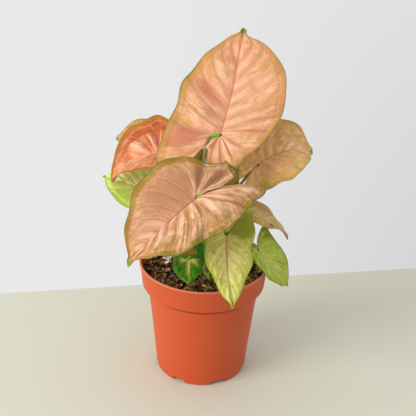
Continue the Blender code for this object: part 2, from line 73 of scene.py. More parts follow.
# Each leaf: where its base is; heading, pitch and roll; length; curve, which is the midrib's bend,
# the droop of the lobes, and the sweep and twist of the tip. Each half: width, the lobe's tip
# across and along, the margin's width at the flank, waist, shoulder and near the tip as shares of
# the width, the rise from the midrib and the further curl. A sinus is the margin's way from the
# stalk to the lobe's tip. The stalk: which stem it leaves and on which side, the direction in which
# it arrives, its girth, and its knee, which is its way back from the blade in the blade's own axes.
PLAIN_KNEE = ((0, -3.5, -1.2),)
LEAVES = {
    "top": dict(
        at=(9, 12, 199), turn=(-14, 27, 6), length=115, curve=(-11, 15, -7, 4),
        right=(43.5, 24, -46, 0.5, 0.8, 0.9, 0.56, 9, -5),
        left=(41.5, 40, -35, 1.03, 1.02, 0.76, 0.41, 4, -14),
        right_sinus=((-5.0, -6.6), (-6.2, -14), (-4.2, -27), (4, -40)),
        left_sinus=((8.2, -3.0), (9.6, -12.5), (10.2, -29)), stem=0, side=100,
        arrive=(0.42, 0.15, 0.9), girth=1.25,
        knee=((-4.4, -2.0, 0.5), (-6.5, -4.6, 0.3), (-7.9, -10, -0.6), (-7.4, -17, -3.6),
            (-6.2, -29, -9.0))),
    "front": dict(
        at=(-6, -45, 172), turn=(114, -34, -24), length=69, curve=(-4, 35, -10, -23),
        right=(41.5, 7.5, -39, 0.54, 0.93, 0.78, 0.5, 12, -2),
        left=(40, 23.5, -43.5, 0.84, 1.05, 0.78, 0.32, 23, -22),
        right_sinus=((-3.0, -8), (-4.6, -19), (0.5, -33)), left_sinus=((3.8, -9), (9.5, -25)),
        stem=2, side=182, arrive=(-0.6, -0.65, 0.45), girth=1.15,
        knee=((0.2, -2.2, -1.6), (0.2, -6, -5))),
    "left": dict(
        at=(-37, 18, 179), turn=(79, -13, -11), length=52, curve=(49, 8, -4, -10),
        right=(28.5, 20, -13, 0.92, 1.05, 0.7, 0.46, 36, 14),
        left=(21.5, 16.5, -4.5, 1.05, 1.12, 0.78, 0.48, 7, -21),
        left_sinus=((1.8, -0.6), (7.0, -2.4)), stem=1, side=138, arrive=(-0.45, -0.5, 0.7),
        girth=1.0, knee=((-3.0, 0.8, 1.4), (-6.5, 0.6, 2.0), (-8.8, -4.5, 0.4), (-9, -9, -4))),
    "left_back": dict(
        at=(-39, 51, 174), turn=(74, 12, -7), length=41, curve=(24, 10, 1, 3),
        right=(25.5, 17, -10, 0.79, 0.97, 0.86, 0.61, 22, -2),
        left=(19, 15, -11, 0.8, 0.92, 0.81, 0.54, 15, -2), stem=1, side=88,
        arrive=(-0.6, 0.3, 0.75), girth=0.95),
    "left_low": dict(
        at=(-39, 29, 137.5), turn=(82, 24, -16), length=49, curve=(17, 19, 0, -2),
        right=(25, 16, -10, 0.8, 0.9, 0.87, 0.58, 15, -4),
        left=(24.5, 18, -12, 0.82, 0.89, 0.84, 0.5, 3, -16), stem=1, side=190,
        arrive=(-0.6, 0.3, 0.75), girth=0.95),
    "right": dict(
        at=(40, 24, 170), turn=(-81, 47, 9), length=50, curve=(76, 2, 0, -7),
        right=(30, 16, -19, 0.8, 0.95, 0.79, 0.5, 3, -35),
        left=(35.5, 6.5, -26, 0.76, 1.04, 0.86, 0.65, 21, 3), right_sinus=((-0.6, -7.5), (3, -14)),
        left_sinus=((1.6, -6), (1.2, -15)), stem=0, side=30, arrive=(0.6, 0.2, 0.78), girth=1.1,
        knee=((-1.2, -5, -0.6), (-1.8, -10, -1.2), (-2.5, -20, -3))),
    "right_middle": dict(
        at=(29, 0, 144.5), turn=(-84, -11, 6), length=50, curve=(52, 17, 1, 16),
        right=(18, 15, -10, 0.78, 0.9, 0.63, 0.38, 3, -23),
        left=(18, 14, -9, 0.76, 0.92, 0.82, 0.42, 7, -3), stem=0, side=-24,
        arrive=(0.75, 0.0, 0.65), girth=0.95),
    "right_low": dict(
        at=(42, -12, 114), turn=(-102, -44, 16), length=39, curve=(10, 4, 0, 3),
        right=(13.5, 10, -9, 0.81, 0.78, 0.86, 0.58, 7, -10),
        left=(18, 18.6, -8.6, 1.14, 1.07, 0.79, 0.53, 16, 3), stem=0, side=-78,
        arrive=(0.9, -0.15, 0.2), girth=0.9),
    "centre": dict(
        at=(16, -40, 142), turn=(181, -36, -1), length=58, curve=(3, 14, -5, 1),
        right=(16.5, 14.5, -13, 0.93, 1.03, 0.67, 0.42, 14, -7),
        left=(18.7, 19.5, -26, 1.05, 1.15, 0.63, 0.37, 11, -11), stem=2, side=-42,
        arrive=(0.2, -0.75, 0.6), girth=1.0, knee=((1, -3.5, -1.2),)),
    "small": dict(
        at=(-12, -33, 114), turn=(182, -25, -1), length=20, curve=(10, 10, 0, 1),
        right=(11.3, 8.5, -6, 0.98, 0.98, 0.74, 0.46, 11, -3),
        left=(11.3, 8.5, -5, 0.97, 0.97, 0.74, 0.46, 10, -3), stem=2, side=-136,
        arrive=(-0.3, -0.8, 0.45), girth=0.6),
    "young_brown": dict(
        at=(-9.3, -23, 116.5), turn=(96, 2, -34), length=9.5, curve=(10, 10, 0, 0),
        right=(4.6, 3, -2.2, 0.92, 0.94, 0.92, 0.72, 12, -5),
        left=(4.6, 3, -2.2, 0.92, 0.94, 0.92, 0.72, 12, -5), stem=1, side=-72,
        arrive=(0.1, -0.6, 0.75), girth=0.5),
    "young_green": dict(
        at=(-0.8, -19.5, 121), turn=(186, -48, 0), length=15, curve=(12, 10, 0, 0),
        right=(6.0, 4.5, -3, 0.9, 0.92, 0.8, 0.5, 12, -5),
        left=(6.0, 4.5, -3, 0.9, 0.92, 0.8, 0.5, 12, -5), stem=2, side=-88,
        arrive=(0.0, -0.6, 0.75), girth=0.5),
}

# How each lamina is built. rows and columns: how finely. veins: how many of a half's side veins fan
# out from the stalk and how many leave the midrib. Each pair is right half, left half: collector
# is where the vein that follows the margin runs; quilt is the height its skin puffs up between
# two side veins; brim is how far the strip beyond the collecting vein turns up; lively is how
# strongly its pattern shows. Then the height and number of the waves along its margin and a shift
# of those; the pinch behind the drawn-out tip; and the height of its soft lumps. Each table below
# is a pair too:
# lips: width, rise, from and to (along the blade), greenness and blush of a strip folded up or
# down beside the notch; a negative blush is a painted highlight that makes the strip pale.
# swells: along, out, spread along, spread out, height of one rise or hollow.
# tones: the same, with how much darker (or, if negative, paler) the colour is there: painted
# shade in the hollows of the swells and painted highlight on their rises, with the leaf's own
# dusky and pale blush.
# greens: the same, with how green it is there.
SHAPE = dict(
    rows=130, columns=36, veins=(3, 6), collector=(0.87, 0.87), quilt=(0.6, 0.6), brim=(0.3, 0.3),
    lively=(1.0, 1.0), wave=0.6, waves=4, shift=0.0, pinch=0.4, lumps=0.8, lips=((), ()),
    swells=((), ()), tones=((), ()), greens=((), ()))
YOUNG = dict(
    SHAPE, rows=60, columns=14, veins=(2, 4), quilt=(0.15, 0.15), brim=(-0.3, -0.3), wave=0.1,
    lumps=0.2)
BUILD = {
    "top": dict(
        SHAPE, rows=260, columns=64, veins=(4, 8), collector=(0.88, 0.84), quilt=(1.1, 1.1),
        brim=(-0.6, 1.6), lively=(0.75, 0.8), wave=1.0, waves=6, shift=0.4, pinch=0.62, lumps=1.8,
        lips=((), ((7.0, -4.5, -13.0, -42.0, 1.4, 0.0),)),
        swells=(
            ((0.508, 0.5, 0.012, 0.5, -1.6), (0.2, 0.5, 0.02, 0.5, 1.0),
             (0.3, 0.5, 0.025, 0.5, 1.0), (0.25, 0.5, 0.02, 0.5, -0.9),
             (0.415, 0.6, 0.02, 0.5, -1.2), (0.37, 0.6, 0.025, 0.5, 1.2),
             (0.5, 0.6, 0.03, 0.4, 0.8)),
            ((0.56, 0.55, 0.05, 0.3, 1.8), (0.475, 0.55, 0.025, 0.4, -1.6),
             (0.69, 0.4, 0.03, 0.35, -1.6), (0.8, 0.4, 0.035, 0.3, 1.3))),
        # painted shade in the hollows, painted highlight on the rises, and the leaf's own blush
        tones=(
            ((0.508, 0.55, 0.009, 0.45, 1.0), (0.545, 0.62, 0.014, 0.35, -0.8),
             (0.58, 0.7, 0.009, 0.28, 0.7), (0.635, 0.72, 0.009, 0.25, 0.6),
             (0.455, 0.62, 0.032, 0.36, -1.0), (0.37, 0.6, 0.03, 0.35, -0.6),
             (0.72, 0.5, 0.12, 0.35, -0.4)),
            ((0.555, 0.7, 0.05, 0.26, -1.5), (0.6, 0.28, 0.035, 0.2, 0.6),
             (0.7, 0.48, 0.032, 0.4, 0.9), (0.81, 0.4, 0.026, 0.34, -1.3),
             (0.87, 0.4, 0.02, 0.4, 0.5), (0.39, 0.62, 0.07, 0.42, 1.1),
             (0.325, 0.86, 0.018, 0.12, -0.8), (0.1, 0.6, 0.06, 0.5, -0.5))),
        greens=(
            ((0.175, 0.99, 0.07, 0.25, 0.55), (0.3, 0.97, 0.06, 0.14, 0.75)),
            ((0.085, 1.02, 0.05, 0.2, 1.0), (0.66, 1.0, 0.2, 0.06, 0.35)))),
    "front": dict(
        SHAPE, rows=260, columns=64, veins=(4, 8), collector=(0.84, 0.87), quilt=(0.55, 2.0),
        brim=(1.2, -0.8), lively=(0.65, 1.0), wave=1.2, waves=7, shift=1.9, pinch=0.5, lumps=1.6,
        # the strip's blush of -2.4 is a painted highlight that makes the folded strip pale
        lips=(((7.5, 6.0, -1.0, -36.0, 0.0, -2.4),), ()),
        swells=(
            ((0.6, 0.45, 0.16, 0.35, 2.2), (0.375, 0.5, 0.022, 0.5, -1.8),
             (0.31, 0.55, 0.02, 0.4, 1.0), (0.25, 0.5, 0.02, 0.5, -1.0)),
            ((0.405, 0.6, 0.018, 0.5, -2.8), (0.52, 0.45, 0.02, 0.4, -1.6),
             (0.46, 0.5, 0.025, 0.4, 1.4), (0.3, 0.6, 0.03, 0.4, 1.2))),
        # painted shade in the hollows, painted highlight on the rises, and the leaf's own blush
        tones=(
            ((0.62, 0.42, 0.19, 0.46, 1.0), (0.445, 0.45, 0.008, 0.42, -1.8),
             (0.39, 0.62, 0.028, 0.4, 0.9), (0.345, 0.6, 0.008, 0.4, -0.8),
             (0.27, 0.6, 0.035, 0.4, 1.3), (0.13, 0.6, 0.06, 0.5, -1.6),
             (0.245, 0.96, 0.05, 0.16, -2.8), (0.36, 1.0, 0.05, 0.06, -1.6)),
            ((0.55, 0.97, 0.3, 0.1, -0.6), (0.46, 0.45, 0.03, 0.4, -1.2),
             (0.405, 0.6, 0.012, 0.5, 0.9), (0.3, 0.5, 0.06, 0.4, -0.6),
             (0.52, 0.5, 0.01, 0.4, 0.8), (0.6, 0.4, 0.035, 0.3, -1.1),
             (0.7, 0.45, 0.02, 0.35, -0.9), (0.8, 0.4, 0.02, 0.3, -0.7))),
        greens=(
            ((0.16, 1.0, 0.12, 0.03, 0.8), (0.31, 1.0, 0.1, 0.04, 0.7),
             (0.55, 1.0, 0.16, 0.07, 0.4)),
            ((0.15, 0.84, 0.085, 0.18, 1.4), (0.7, 0.98, 0.25, 0.12, 0.35)))),
    "left": dict(
        SHAPE, rows=190, columns=54, veins=(3, 5), quilt=(1.4, 1.0), brim=(2.2, 1.0),
        lively=(0.8, 0.8), wave=0.9, waves=3, shift=0.9, lumps=2.6,
        swells=(
            ((0.55, 0.76, 0.3, 0.09, -2.4), (0.43, 0.5, 0.045, 0.35, -2.2),
             (0.51, 0.42, 0.04, 0.3, 2.4), (0.6, 0.36, 0.035, 0.3, -2.0),
             (0.7, 0.42, 0.05, 0.3, 1.8), (0.79, 0.4, 0.03, 0.3, -1.0)),
            ()),
        # painted shade in the cup's valley and hollows, painted highlight on the rises, and some
        # blush
        tones=(
            ((0.58, 0.72, 0.3, 0.13, 1.1), (0.42, 0.6, 0.035, 0.4, 1.0),
             (0.49, 0.38, 0.028, 0.28, -1.3), (0.555, 0.36, 0.025, 0.26, 1.2),
             (0.68, 0.36, 0.06, 0.24, -1.2), (0.8, 0.3, 0.03, 0.3, 0.6)),
            ((0.7, 0.4, 0.2, 0.4, -0.5), (0.9, 0.5, 0.05, 0.5, -0.8)))),
    "left_back": dict(SHAPE, quilt=(0.7, 0.7), brim=(0.5, 0.5), wave=0.9, shift=2.2),
    "left_low": dict(
        SHAPE, quilt=(0.9, 0.9), brim=(-0.5, 0.5), wave=0.7, shift=0.2,
        # the pale tone is a painted highlight where the leaf above casts its shadow on this one
        tones=(((0.65, 0.55, 0.17, 0.4, -1.6),), ((0.7, 0.6, 0.2, 0.4, 0.5),))),
    "right": dict(
        SHAPE, rows=180, columns=50, veins=(3, 7), quilt=(0.8, 0.8), brim=(0.6, 0.6), wave=1.0,
        waves=6, shift=1.2, lumps=0.9,
        tones=(((0.2, 0.6, 0.1, 0.4, -0.5), (0.6, 0.5, 0.2, 0.4, 0.5)), ()),
        greens=(((0.35, 0.9, 0.12, 0.2, 0.5),), ((0.3, 0.7, 0.2, 0.4, 0.5),))),
    "right_middle": dict(
        SHAPE, quilt=(0.5, 0.5), shift=3.0, pinch=0.8, lumps=0.6,
        tones=((), ((0.6, 0.7, 0.2, 0.5, 1.2),)), greens=(((0.66, 0.84, 0.012, 0.06, 1.5),), ())),
    "right_low": dict(SHAPE, brim=(-0.3, -0.3), shift=0.6),
    "centre": dict(
        SHAPE, rows=160, columns=44, veins=(3, 7), quilt=(0.8, 0.8), brim=(-0.5, -0.8), wave=0.7,
        shift=1.5, pinch=0.3, lumps=1.6,
        tones=(((0.8, 0.4, 0.2, 0.4, -0.6),), ((0.75, 0.4, 0.2, 0.4, -0.5),)),
        greens=(((0.38, 0.3, 0.05, 0.2, 0.4),), ((0.4, 0.5, 0.16, 0.6, 1.0),))),
    "small": dict(
        SHAPE, rows=100, columns=30, veins=(2, 5), quilt=(0.5, 0.5), brim=(-0.6, -0.6), wave=0.3,
        shift=0.3, pinch=0.0, lumps=0.5),
    "young_brown": dict(YOUNG, pinch=0.0),
    "young_green": dict(YOUNG, shift=1.0, pinch=0.2),
}

# Colours of a lamina, one column each, and how strongly six of its layers show: the pale crowns
# between two side veins, which are painted highlight on the pleats' crests mixed with the leaf's
# own paler streaks, the duller patches, the flecks, the side veins, the band along the margin and
# the midrib. The fifth colour is both the painted shade in hollows and the dusky blush, "edge" the
# thin margin and "under" the lower side.
TINTS = "body pale patch fleck dusk green vein rib band edge tip under".split()
LAYERS = "crowns patches flecks veins margin midrib".split()
LOOKS = {
    "top": (
        "E29E80 F2C69C C8984A A8A040 C47858 6E6A14 E48E80 C8685C C08C40 8E7C2C 6E9420 C7A488",
        (0.75, 0.8, 0.6, 0.6, 0.55, 0.75)),
    "front": (
        "CE9676 F0C4A0 A8823A 8A862C A67350 66761C DE9480 A04C44 98741E 6E6C1C 7A9A28 C7A488",
        (0.75, 0.9, 0.6, 0.65, 0.85, 0.75)),
    "left": (
        "D28058 F0BA9A BC6A30 B87A38 A8541E 6E6A14 EBA48C E89C84 AE6C22 8C6A2C E0987A C98A64",
        (0.75, 0.6, 0.2, 0.35, 0.95, 0.75)),
    "left_back": (
        "D6AC70 E1C07E BC9751 9F9340 C47858 6E6A14 D89D70 C8685C C08C40 56602A 6E9420 C7A488",
        (0.75, 0.6, 0.6, 0.5, 0.55, 0.75)),
    "left_low": (
        "E1F377 FFFFBF C0E350 F9FFA8 B7DC47 98BB39 FFFFC8 E8C8A4 B2D547 55801E 7EA030 DBF2A3",
        (0.7, 0.7, 0.4, 0.7, 0.5, 0.75)),
    "right": (
        "EDB880 FBD8A4 C6A04C A8A430 CC9866 A49A34 F2AC8C B8604C BEA040 7A722A 6E9420 CDA762",
        (0.75, 0.8, 0.5, 0.85, 0.55, 0.75)),
    "right_middle": (
        "D8B06C E8C68A AE963C 989C3C B08C2C 3E4A1A DBA978 D09474 B1983C 8E7C2C 6E9420 C7A488",
        (0.75, 0.85, 0.6, 0.5, 0.55, 0.75)),
    "right_low": (
        "B0C23C DADC7C 82A01A DCE08A 82A01A 759F20 DFDA8C E0BC92 7EA526 44701A B08A48 AAC06A",
        (0.6, 0.85, 0.45, 0.75, 0.6, 0.75)),
    "centre": (
        "D1CF68 EADE96 A6B638 D5B278 AAB238 869218 EAD69A B86C58 A6BA38 7A9A24 8AAA30 BBC474",
        (0.8, 0.85, 0.5, 0.6, 0.5, 0.6)),
    "small": (
        "3C8210 62A222 1A5106 73AA27 1A5607 1A5607 78AA2E F0D090 317C13 7CA83C C08A3C 78A44A",
        (0.6, 0.85, 0.4, 0.45, 0.5, 0.9)),
    "young_brown": (
        "9E8226 AE9030 86701E 7E7A24 C47858 6E6A14 AA8A38 A08030 8A6E1C 6E5E1C 6E9420 C7A488",
        (0.75, 0.8, 0.6, 0.3, 0.55, 0.4)),
    "young_green": (
        "2A7412 3E8A20 164C08 5CA034 164C08 245E12 5C9438 74A048 3E8A24 6A9A34 6A9A34 5E8A4C",
        (0.5, 0.7, 0.3, 0.4, 0.5, 0.5)),
}
STARS = {"small": "#E6CE74"}  # colour of the pale star round the stalk
LEAF_STEP = 3.7  # how far apart in the noise two leaves take their streaks

# -------------------- stems, stalks and soil
STEMS = ((6.0, 8.0, 106.0), (-11.0, 4.0, 103.0), (2.0, -11.0, 101.0))  # place and top of each
STEM_RADIUS = 3.2
STEM_CLEAR = 9.0  # how far from a stem's middle nothing lies on the soil
STALK_FOOT = 89.5  # height at which the stalks leave their stems
STALK_RADII = (1.9, 0.95)  # at the foot and at the blade
STALK_SPREAD = 0.28  # how far a stalk leans away from its stem as it leaves it
KNEE_LENGTH = 6.0  # how much of a stalk below the blade is bright green
KNEE_LEAF = 45  # length of a leaf from which its knee has its full size
MOSS_AT = (6.2, -13.2)
LARGE_GRAINS = (  # place and size of each large grain of perlite that stands alone
    (4.4, -8.2, 1.9), (-31.8, -18.5, 1.3), (4.7, -32.7, 0.9), (32.2, -26.9, 1.4),
    (3.0, -40.0, 0.8))
SOIL_TOP, SOIL_RADIUS = 86.5, 48.9
# the bed below its top: distance from the middle and height, down the wall and under
SOIL_SIDES = ((48.8, 84.0), (47.9, 79.0), (43.2, 73.0), (35.9, 6.0), (0.0, 6.0))

# -------------------- pot
# distance from the axis and height: over the lip, down the outside, under the foot, up the inside
POT_PROFILE = (
    (50.4, 96.55), (50.55, 96.9), (50.85, 97.0), (51.4, 97.0), (51.8, 96.9), (52.0, 96.6),
    (52.02, 96.2), (51.95, 95.2), (51.75, 94.75), (51.5, 94.6), (51.35, 94.3), (50.5, 87.0),
    (49.75, 79.0), (49.6, 78.0), (49.4, 77.6), (49.0, 77.4), (47.3, 76.2), (45.7, 75.3),
    (45.2, 74.8), (45.0, 74.2), (44.85, 72.8), (42.5, 53.0), (40.2, 30.0), (38.5, 13.0),
    (37.95, 6.0), (37.85, 4.2), (37.8, 3.4), (37.75, 2.6), (37.65, 1.4), (37.5, 0.7),
    (37.2, 0.25), (36.7, 0.0), (35.3, 0.0), (34.0, 0.0), (32.6, 0.0), (32.2, 0.1),
    (31.4, 3.0), (0.0, 3.4), (0.0, 4.6), (35.3, 4.6), (36.2, 5.2), (41.2, 53.0),
    (43.6, 74.0), (44.2, 75.2), (48.0, 77.9), (48.4, 78.6), (50.1, 94.0), (50.4, 96.55))
POT_TURNS = 288
FOOT_ROWS, FOOT_INSIDE, FOOT_RADIUS = (24, 34), 32.4, 37.0  # the ring that it stands on
# where each notch in the foot is centred, and its width
NOTCHES = (
    (-118.0, 10.0), (-67.0, 12.0), (-16.0, 12.0), (36.0, 12.0), (87.0, 12.0), (139.0, 12.0),
    (190.0, 12.0))
NOTCH_HEIGHT = 3.2

# -------------------- stage
TABLE_BACK, TABLE_SKEW = 129.0, 0.185814  # where its far edge is behind the pot, and its slope
LAMP_AT, LAMP_AIM = (-1.6, -1.0, 0.8), (0, 0, 0.12)  # in metres
LAMP_SIZE, LAMP_WATTS, LAMP_COLOUR = 1.2, 30.0, (1.0, 0.98, 0.95)
# the camera: what it looks at, how far off, how steeply down, how far tipped, and its angle of view
AIM, DISTANCE, ELEVATION, ROLL, VIEW = (1.8, 0.0, 142.6), 606.6, 25.3, 1.94, 30.0
SENSOR = 36.0


# ==================== tools
def linear(colour):
    """sRGB hex to a linear RGBA colour."""
    parts = [int(colour[i : i + 2], 16) / 255 for i in (1, 3, 5)]
    return (*[c / 12.92 if c < 0.04045 else ((c + 0.055) / 1.055) ** 2.4 for c in parts], 1.0)


def add(tree, kind, inputs=(), give=0, **settings):
    """Adds one node and gives one of its outputs: settings are its own values, and inputs are
    socket values or links, by socket."""
    made = tree.nodes.new("ShaderNode" + kind)
    for name, value in settings.items():
        setattr(made, name, value)
    for name, value in dict(inputs).items():
        if isinstance(value, bpy.types.NodeSocket):
            tree.links.new(value, made.inputs[name])
        else:
            made.inputs[name].default_value = value
    return made.outputs[give]


# Kinds of step in the tables that wire() reads: a node, its settings, its input sockets in the
# order the table gives them, and the output it passes on.
TIMES = ("Math", {"operation": "MULTIPLY"}, (0, 1), 0)
TIMES_PLUS = ("Math", {"operation": "MULTIPLY_ADD"}, (0, 1, 2), 0)
LESS = ("Math", {"operation": "SUBTRACT"}, (0, 1), 0)
HIGHER = ("Math", {"operation": "MAXIMUM"}, (0, 1), 0)
SIZE = ("Math", {"operation": "ABSOLUTE"}, (0,), 0)
ZIGZAG = ("Math", {"operation": "PINGPONG"}, (0, 1), 0)
EASE = ("MapRange", {"interpolation_type": "SMOOTHSTEP"}, (0, 1, 2, 3, 4), 0)
SCALE = ("MapRange", {}, (0, 1, 2, 3, 4), 0)
OVER = ("Mix", {"data_type": "RGBA"}, (0, 6, 7), 2)
DIM = ("VectorMath", {"operation": "MULTIPLY"}, (0, 1), 0)
JOIN = ("CombineXYZ", {}, (0, 1, 2), 0)
STRETCH = ("Mapping", {}, ("Vector", "Scale"), 0)
NOISE = ("TexNoise", {}, ("Vector", "Scale", "Detail", "Roughness"), 0)
CELLS = ("TexVoronoi", {}, ("Vector", "Scale"), "Color")
PITS = ("TexVoronoi", {}, ("Vector", "Scale"), "Distance")
BUMP = ("Bump", {}, ("Height", "Strength", "Distance"), 0)
VEIN_MAP = ("UVMap", {"uv_map": "veins"}, (), 0)
FIRST, SECOND, THIRD = (("SeparateXYZ", {}, (0,), part) for part in range(3))


def wire(tree, at, rows):
    """Adds the nodes of a table one after another: the result's name, the kind of step, and its
    inputs, where a word is a colour if it starts with a hash and else names an earlier result."""
    for name, (kind, settings, sockets, give), *inputs in rows:
        inputs = [
            (linear(x) if x[0] == "#" else at[x]) if isinstance(x, str) else x for x in inputs]
        at[name] = add(tree, kind, zip(sockets, inputs), give, **settings)


def make_material(name, labels, rows, values):
    """A material from its table, which may name "place", a point's place on the piece, and the
    piece's attributes by label. Its "colour" is the base colour. Then the shader's values by
    socket: a word is a result of the table and is linked, and the rest are set on the socket."""
    made = bpy.data.materials.new(name)
    made.use_nodes = True
    tree = made.node_tree
    at = {label: add(tree, "Attribute", give="Fac", attribute_name=label) for label in labels}
    at["place"] = add(tree, "TexCoord", give="Object")
    wire(tree, at, rows)
    sockets = tree.nodes["Principled BSDF"].inputs
    for socket, value in {"Base Color": "colour", **values}.items():
        if isinstance(value, str):
            tree.links.new(at[value], sockets[socket])
        else:
            sockets[socket].default_value = value
    return made


def smooth_step(low, high, x):
    """Nothing at low, one at high, and level at both: 3t^2 - 2t^3 of the share t between them."""
    t = np.clip((x - low) / (high - low), 0.0, 1.0)
    return t * t * (3 - 2 * t)


def bell(x, middle, wide):
    """One at the middle, falling away smoothly on both sides."""
    return np.exp(-(((x - middle) / wide) ** 2))


def grid_quads(rows, columns, start=0, closed=False):
    """Corner numbers of the quads of a rows by columns grid, joined round if closed."""
    i = np.arange(rows - 1)[:, None]
    j = np.arange(columns if closed else columns - 1)[None]
    k = (j + 1) % columns
    corners = (i * columns + j, i * columns + k, (i + 1) * columns + k, (i + 1) * columns + j)
    return start + np.stack(corners, axis=-1).reshape(-1, 4)


def round_angles(turns):
    """Even angles once round."""
    return np.linspace(0, 2 * np.pi, turns, endpoint=False)


def polar(radius, angle, z):
    """Points by their distance from the upright axis, angle round it and height."""
    parts = np.broadcast_arrays(radius * np.cos(angle), radius * np.sin(angle), z)
    return np.stack(parts, axis=-1)


def solid(name, points, quads, material, uv=None, values=(), flat=False):
    """A closed mesh object in metres from points in millimetres, with doubles merged and faces
    turned outwards. uv and values are given for each point."""
    mesh = bpy.data.meshes.new(name)
    mesh.from_pydata((points * MM).tolist(), [], quads.tolist())
    if uv is not None:
        corner = np.zeros(len(mesh.loops), dtype=np.int32)
        mesh.loops.foreach_get("vertex_index", corner)
        layer = mesh.uv_layers.new(name="veins")
        layer.data.foreach_set("uv", uv[corner].astype(np.float32).ravel())
    for label, value in dict(values).items():
        layer = mesh.attributes.new(label, "FLOAT", "POINT")
        layer.data.foreach_set("value", value.astype(np.float32))
    work = bmesh.new()
    work.from_mesh(mesh)
    bmesh.ops.remove_doubles(work, verts=work.verts, dist=MERGE)
    bmesh.ops.recalc_face_normals(work, faces=work.faces)
    work.to_mesh(mesh)
    work.free()
    mesh.polygons.foreach_set("use_smooth", [not flat] * len(mesh.polygons))
    made = bpy.data.objects.new(name, mesh)
    bpy.context.scene.collection.objects.link(made)
    mesh.materials.append(material)
    return made


def sleeve(name, rings, material, **values):
    """A solid from rings of points, each joined to the next."""
    quads = grid_quads(*rings.shape[:2], closed=True)
    values = {label: value.ravel() for label, value in values.items()}
    return solid(name, rings.reshape(-1, 3), quads, material, values=values)


def settle(made, slot, *nodes):
    """The piece belongs to the plant's one body and stands for the nodes. The slot is not used."""
    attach(made, "root")
    if nodes:
        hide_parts(*nodes)


def lattice_noise(x, y, seed):
    """Smooth noise of unit spacing: seeded corner values blended across each square."""
    values = np.random.default_rng(seed).random((64, 64))
    i, j = np.floor(x).astype(int), np.floor(y).astype(int)
    s, t = smooth_step(0, 1, x - i), smooth_step(0, 1, y - j)
    a, b, c, d = (values[(i + p) % 64, (j + q) % 64] for q in (0, 1) for p in (0, 1))
    return (a * (1 - s) + b * s) * (1 - t) + (c * (1 - s) + d * s) * t


# ==================== leaf shape
def smooth_curve(points, count):
    """A centripetal Catmull-Rom curve through the points, at even steps along its length."""
    through = np.asarray(points, float)
    through = np.vstack([2 * through[0] - through[1], through, 2 * through[-1] - through[-2]])
    knots = np.linalg.norm(np.diff(through, axis=0), axis=1) ** 0.5
    knots = np.concatenate([[0.0], np.cumsum(knots)])
    at = np.linspace(knots[1], knots[-2], 60 * len(points))
    span = np.clip(np.searchsorted(knots, at, side="right") - 1, 1, len(through) - 3)
    k = [knots[span + i] for i in (-1, 0, 1, 2)]
    p = [through[span + i] for i in (-1, 0, 1, 2)]

    def between(one, two, low, high):
        share = ((at - low) / (high - low))[:, None]
        return one * (1 - share) + two * share

    a = [between(p[i], p[i + 1], k[i], k[i + 1]) for i in range(3)]
    b = [between(a[i], a[i + 1], k[i], k[i + 2]) for i in range(2)]
    curve = between(b[0], b[1], k[1], k[2])
    run = np.concatenate([[0.0], np.cumsum(np.linalg.norm(np.diff(curve, axis=0), axis=1))])
    even = np.linspace(0.0, run[-1], count)
    return np.stack([np.interp(even, run, curve[:, i]) for i in range(curve.shape[1])], axis=1)


def half_margin(leaf, side, count):
    """Margin of one half, laid flat, from the stalk round the lobe to the tip."""
    width, lobe_x, lobe_y, flank, waist, shoulder, taper = leaf[HALF[side]][:7]
    length = leaf["length"]
    open_sinus = ((0.22 * lobe_x, 0.45 * lobe_y), (0.62 * lobe_x, 0.90 * lobe_y))
    points = (
        (0.0, 0.0), *leaf.get(HALF[side] + "_sinus", open_sinus), (lobe_x, lobe_y),
        (flank * width, 0.50 * lobe_y), (waist * width, 0.0), (0.98 * width, 0.20 * length),
        (width, 0.40 * length), (shoulder * width, 0.64 * length), (taper * width, 0.82 * length),
        (0.36 * taper * width, 0.94 * length), (0.0, length))
    return smooth_curve(points, count)


def spine(y, leaf):
    """The bent midrib: distance along, rise and slope, from the running sum of its slope."""
    length, (bend, droop, *_) = leaf["length"], leaf["curve"]
    table = np.linspace(-80.0, 1.05 * length, SPINE_SAMPLES)
    lobes = math.radians(droop) * (1 - np.exp(np.minimum(table, 0.0) / LOBE_FALL))
    slope = np.where(table > 0, -math.radians(bend) * table / length, lobes)

    def running(values):
        total = np.cumsum((values[1:] + values[:-1]) / 2 * np.diff(table))
        total = np.concatenate([[0.0], total])
        return total - np.interp(0.0, table, total)

    along = np.interp(y, table, running(np.cos(slope)))
    rise = np.interp(y, table, running(np.sin(slope)))
    return along, rise, np.interp(y, table, slope)


def bent(x, y, side, leaf):
    """A flat point of a half carried onto the leaf: an arc across the half, the midrib's bend,
    and a twist and a sideways sweep that grow towards the tip."""
    width, *_, fold, curl = leaf[HALF[side]]
    fold, curl, (*_, sweep, twist) = math.radians(fold), math.radians(curl), leaf["curve"]
    turned = fold + curl * x / width
    across = side * (width / curl) * (np.sin(turned) - math.sin(fold))
    lift = (width / curl) * (math.cos(fold) - np.cos(turned))
    along, rise, slope = spine(y, leaf)
    share = np.maximum(y, 0.0) / leaf["length"]
    twist = math.radians(twist) * share
    out = across * np.cos(twist) - lift * np.sin(twist) + sweep * share**2
    up = across * np.sin(twist) + lift * np.cos(twist)
    return np.stack([out, along - np.sin(slope) * up, rise + np.cos(slope) * up], axis=-1)


def blade_axes(leaf):
    """Columns: across, along to the tip, and out of the upper side."""
    h, p, r = (math.radians(angle) for angle in leaf["turn"])
    turn_z = np.array([[math.cos(h), -math.sin(h), 0], [math.sin(h), math.cos(h), 0], [0, 0, 1]])
    turn_x = np.array([[1, 0, 0], [0, math.cos(p), -math.sin(p)], [0, math.sin(p), math.cos(p)]])
    turn_y = np.array([[math.cos(r), 0, math.sin(r)], [0, 1, 0], [-math.sin(r), 0, math.cos(r)]])
    return turn_z @ turn_x @ turn_y


def fineness(leaf):
    """How much smaller than on a full-grown leaf the details of a leaf are."""
    return min(1.0, leaf["length"] / FULL_LENGTH)


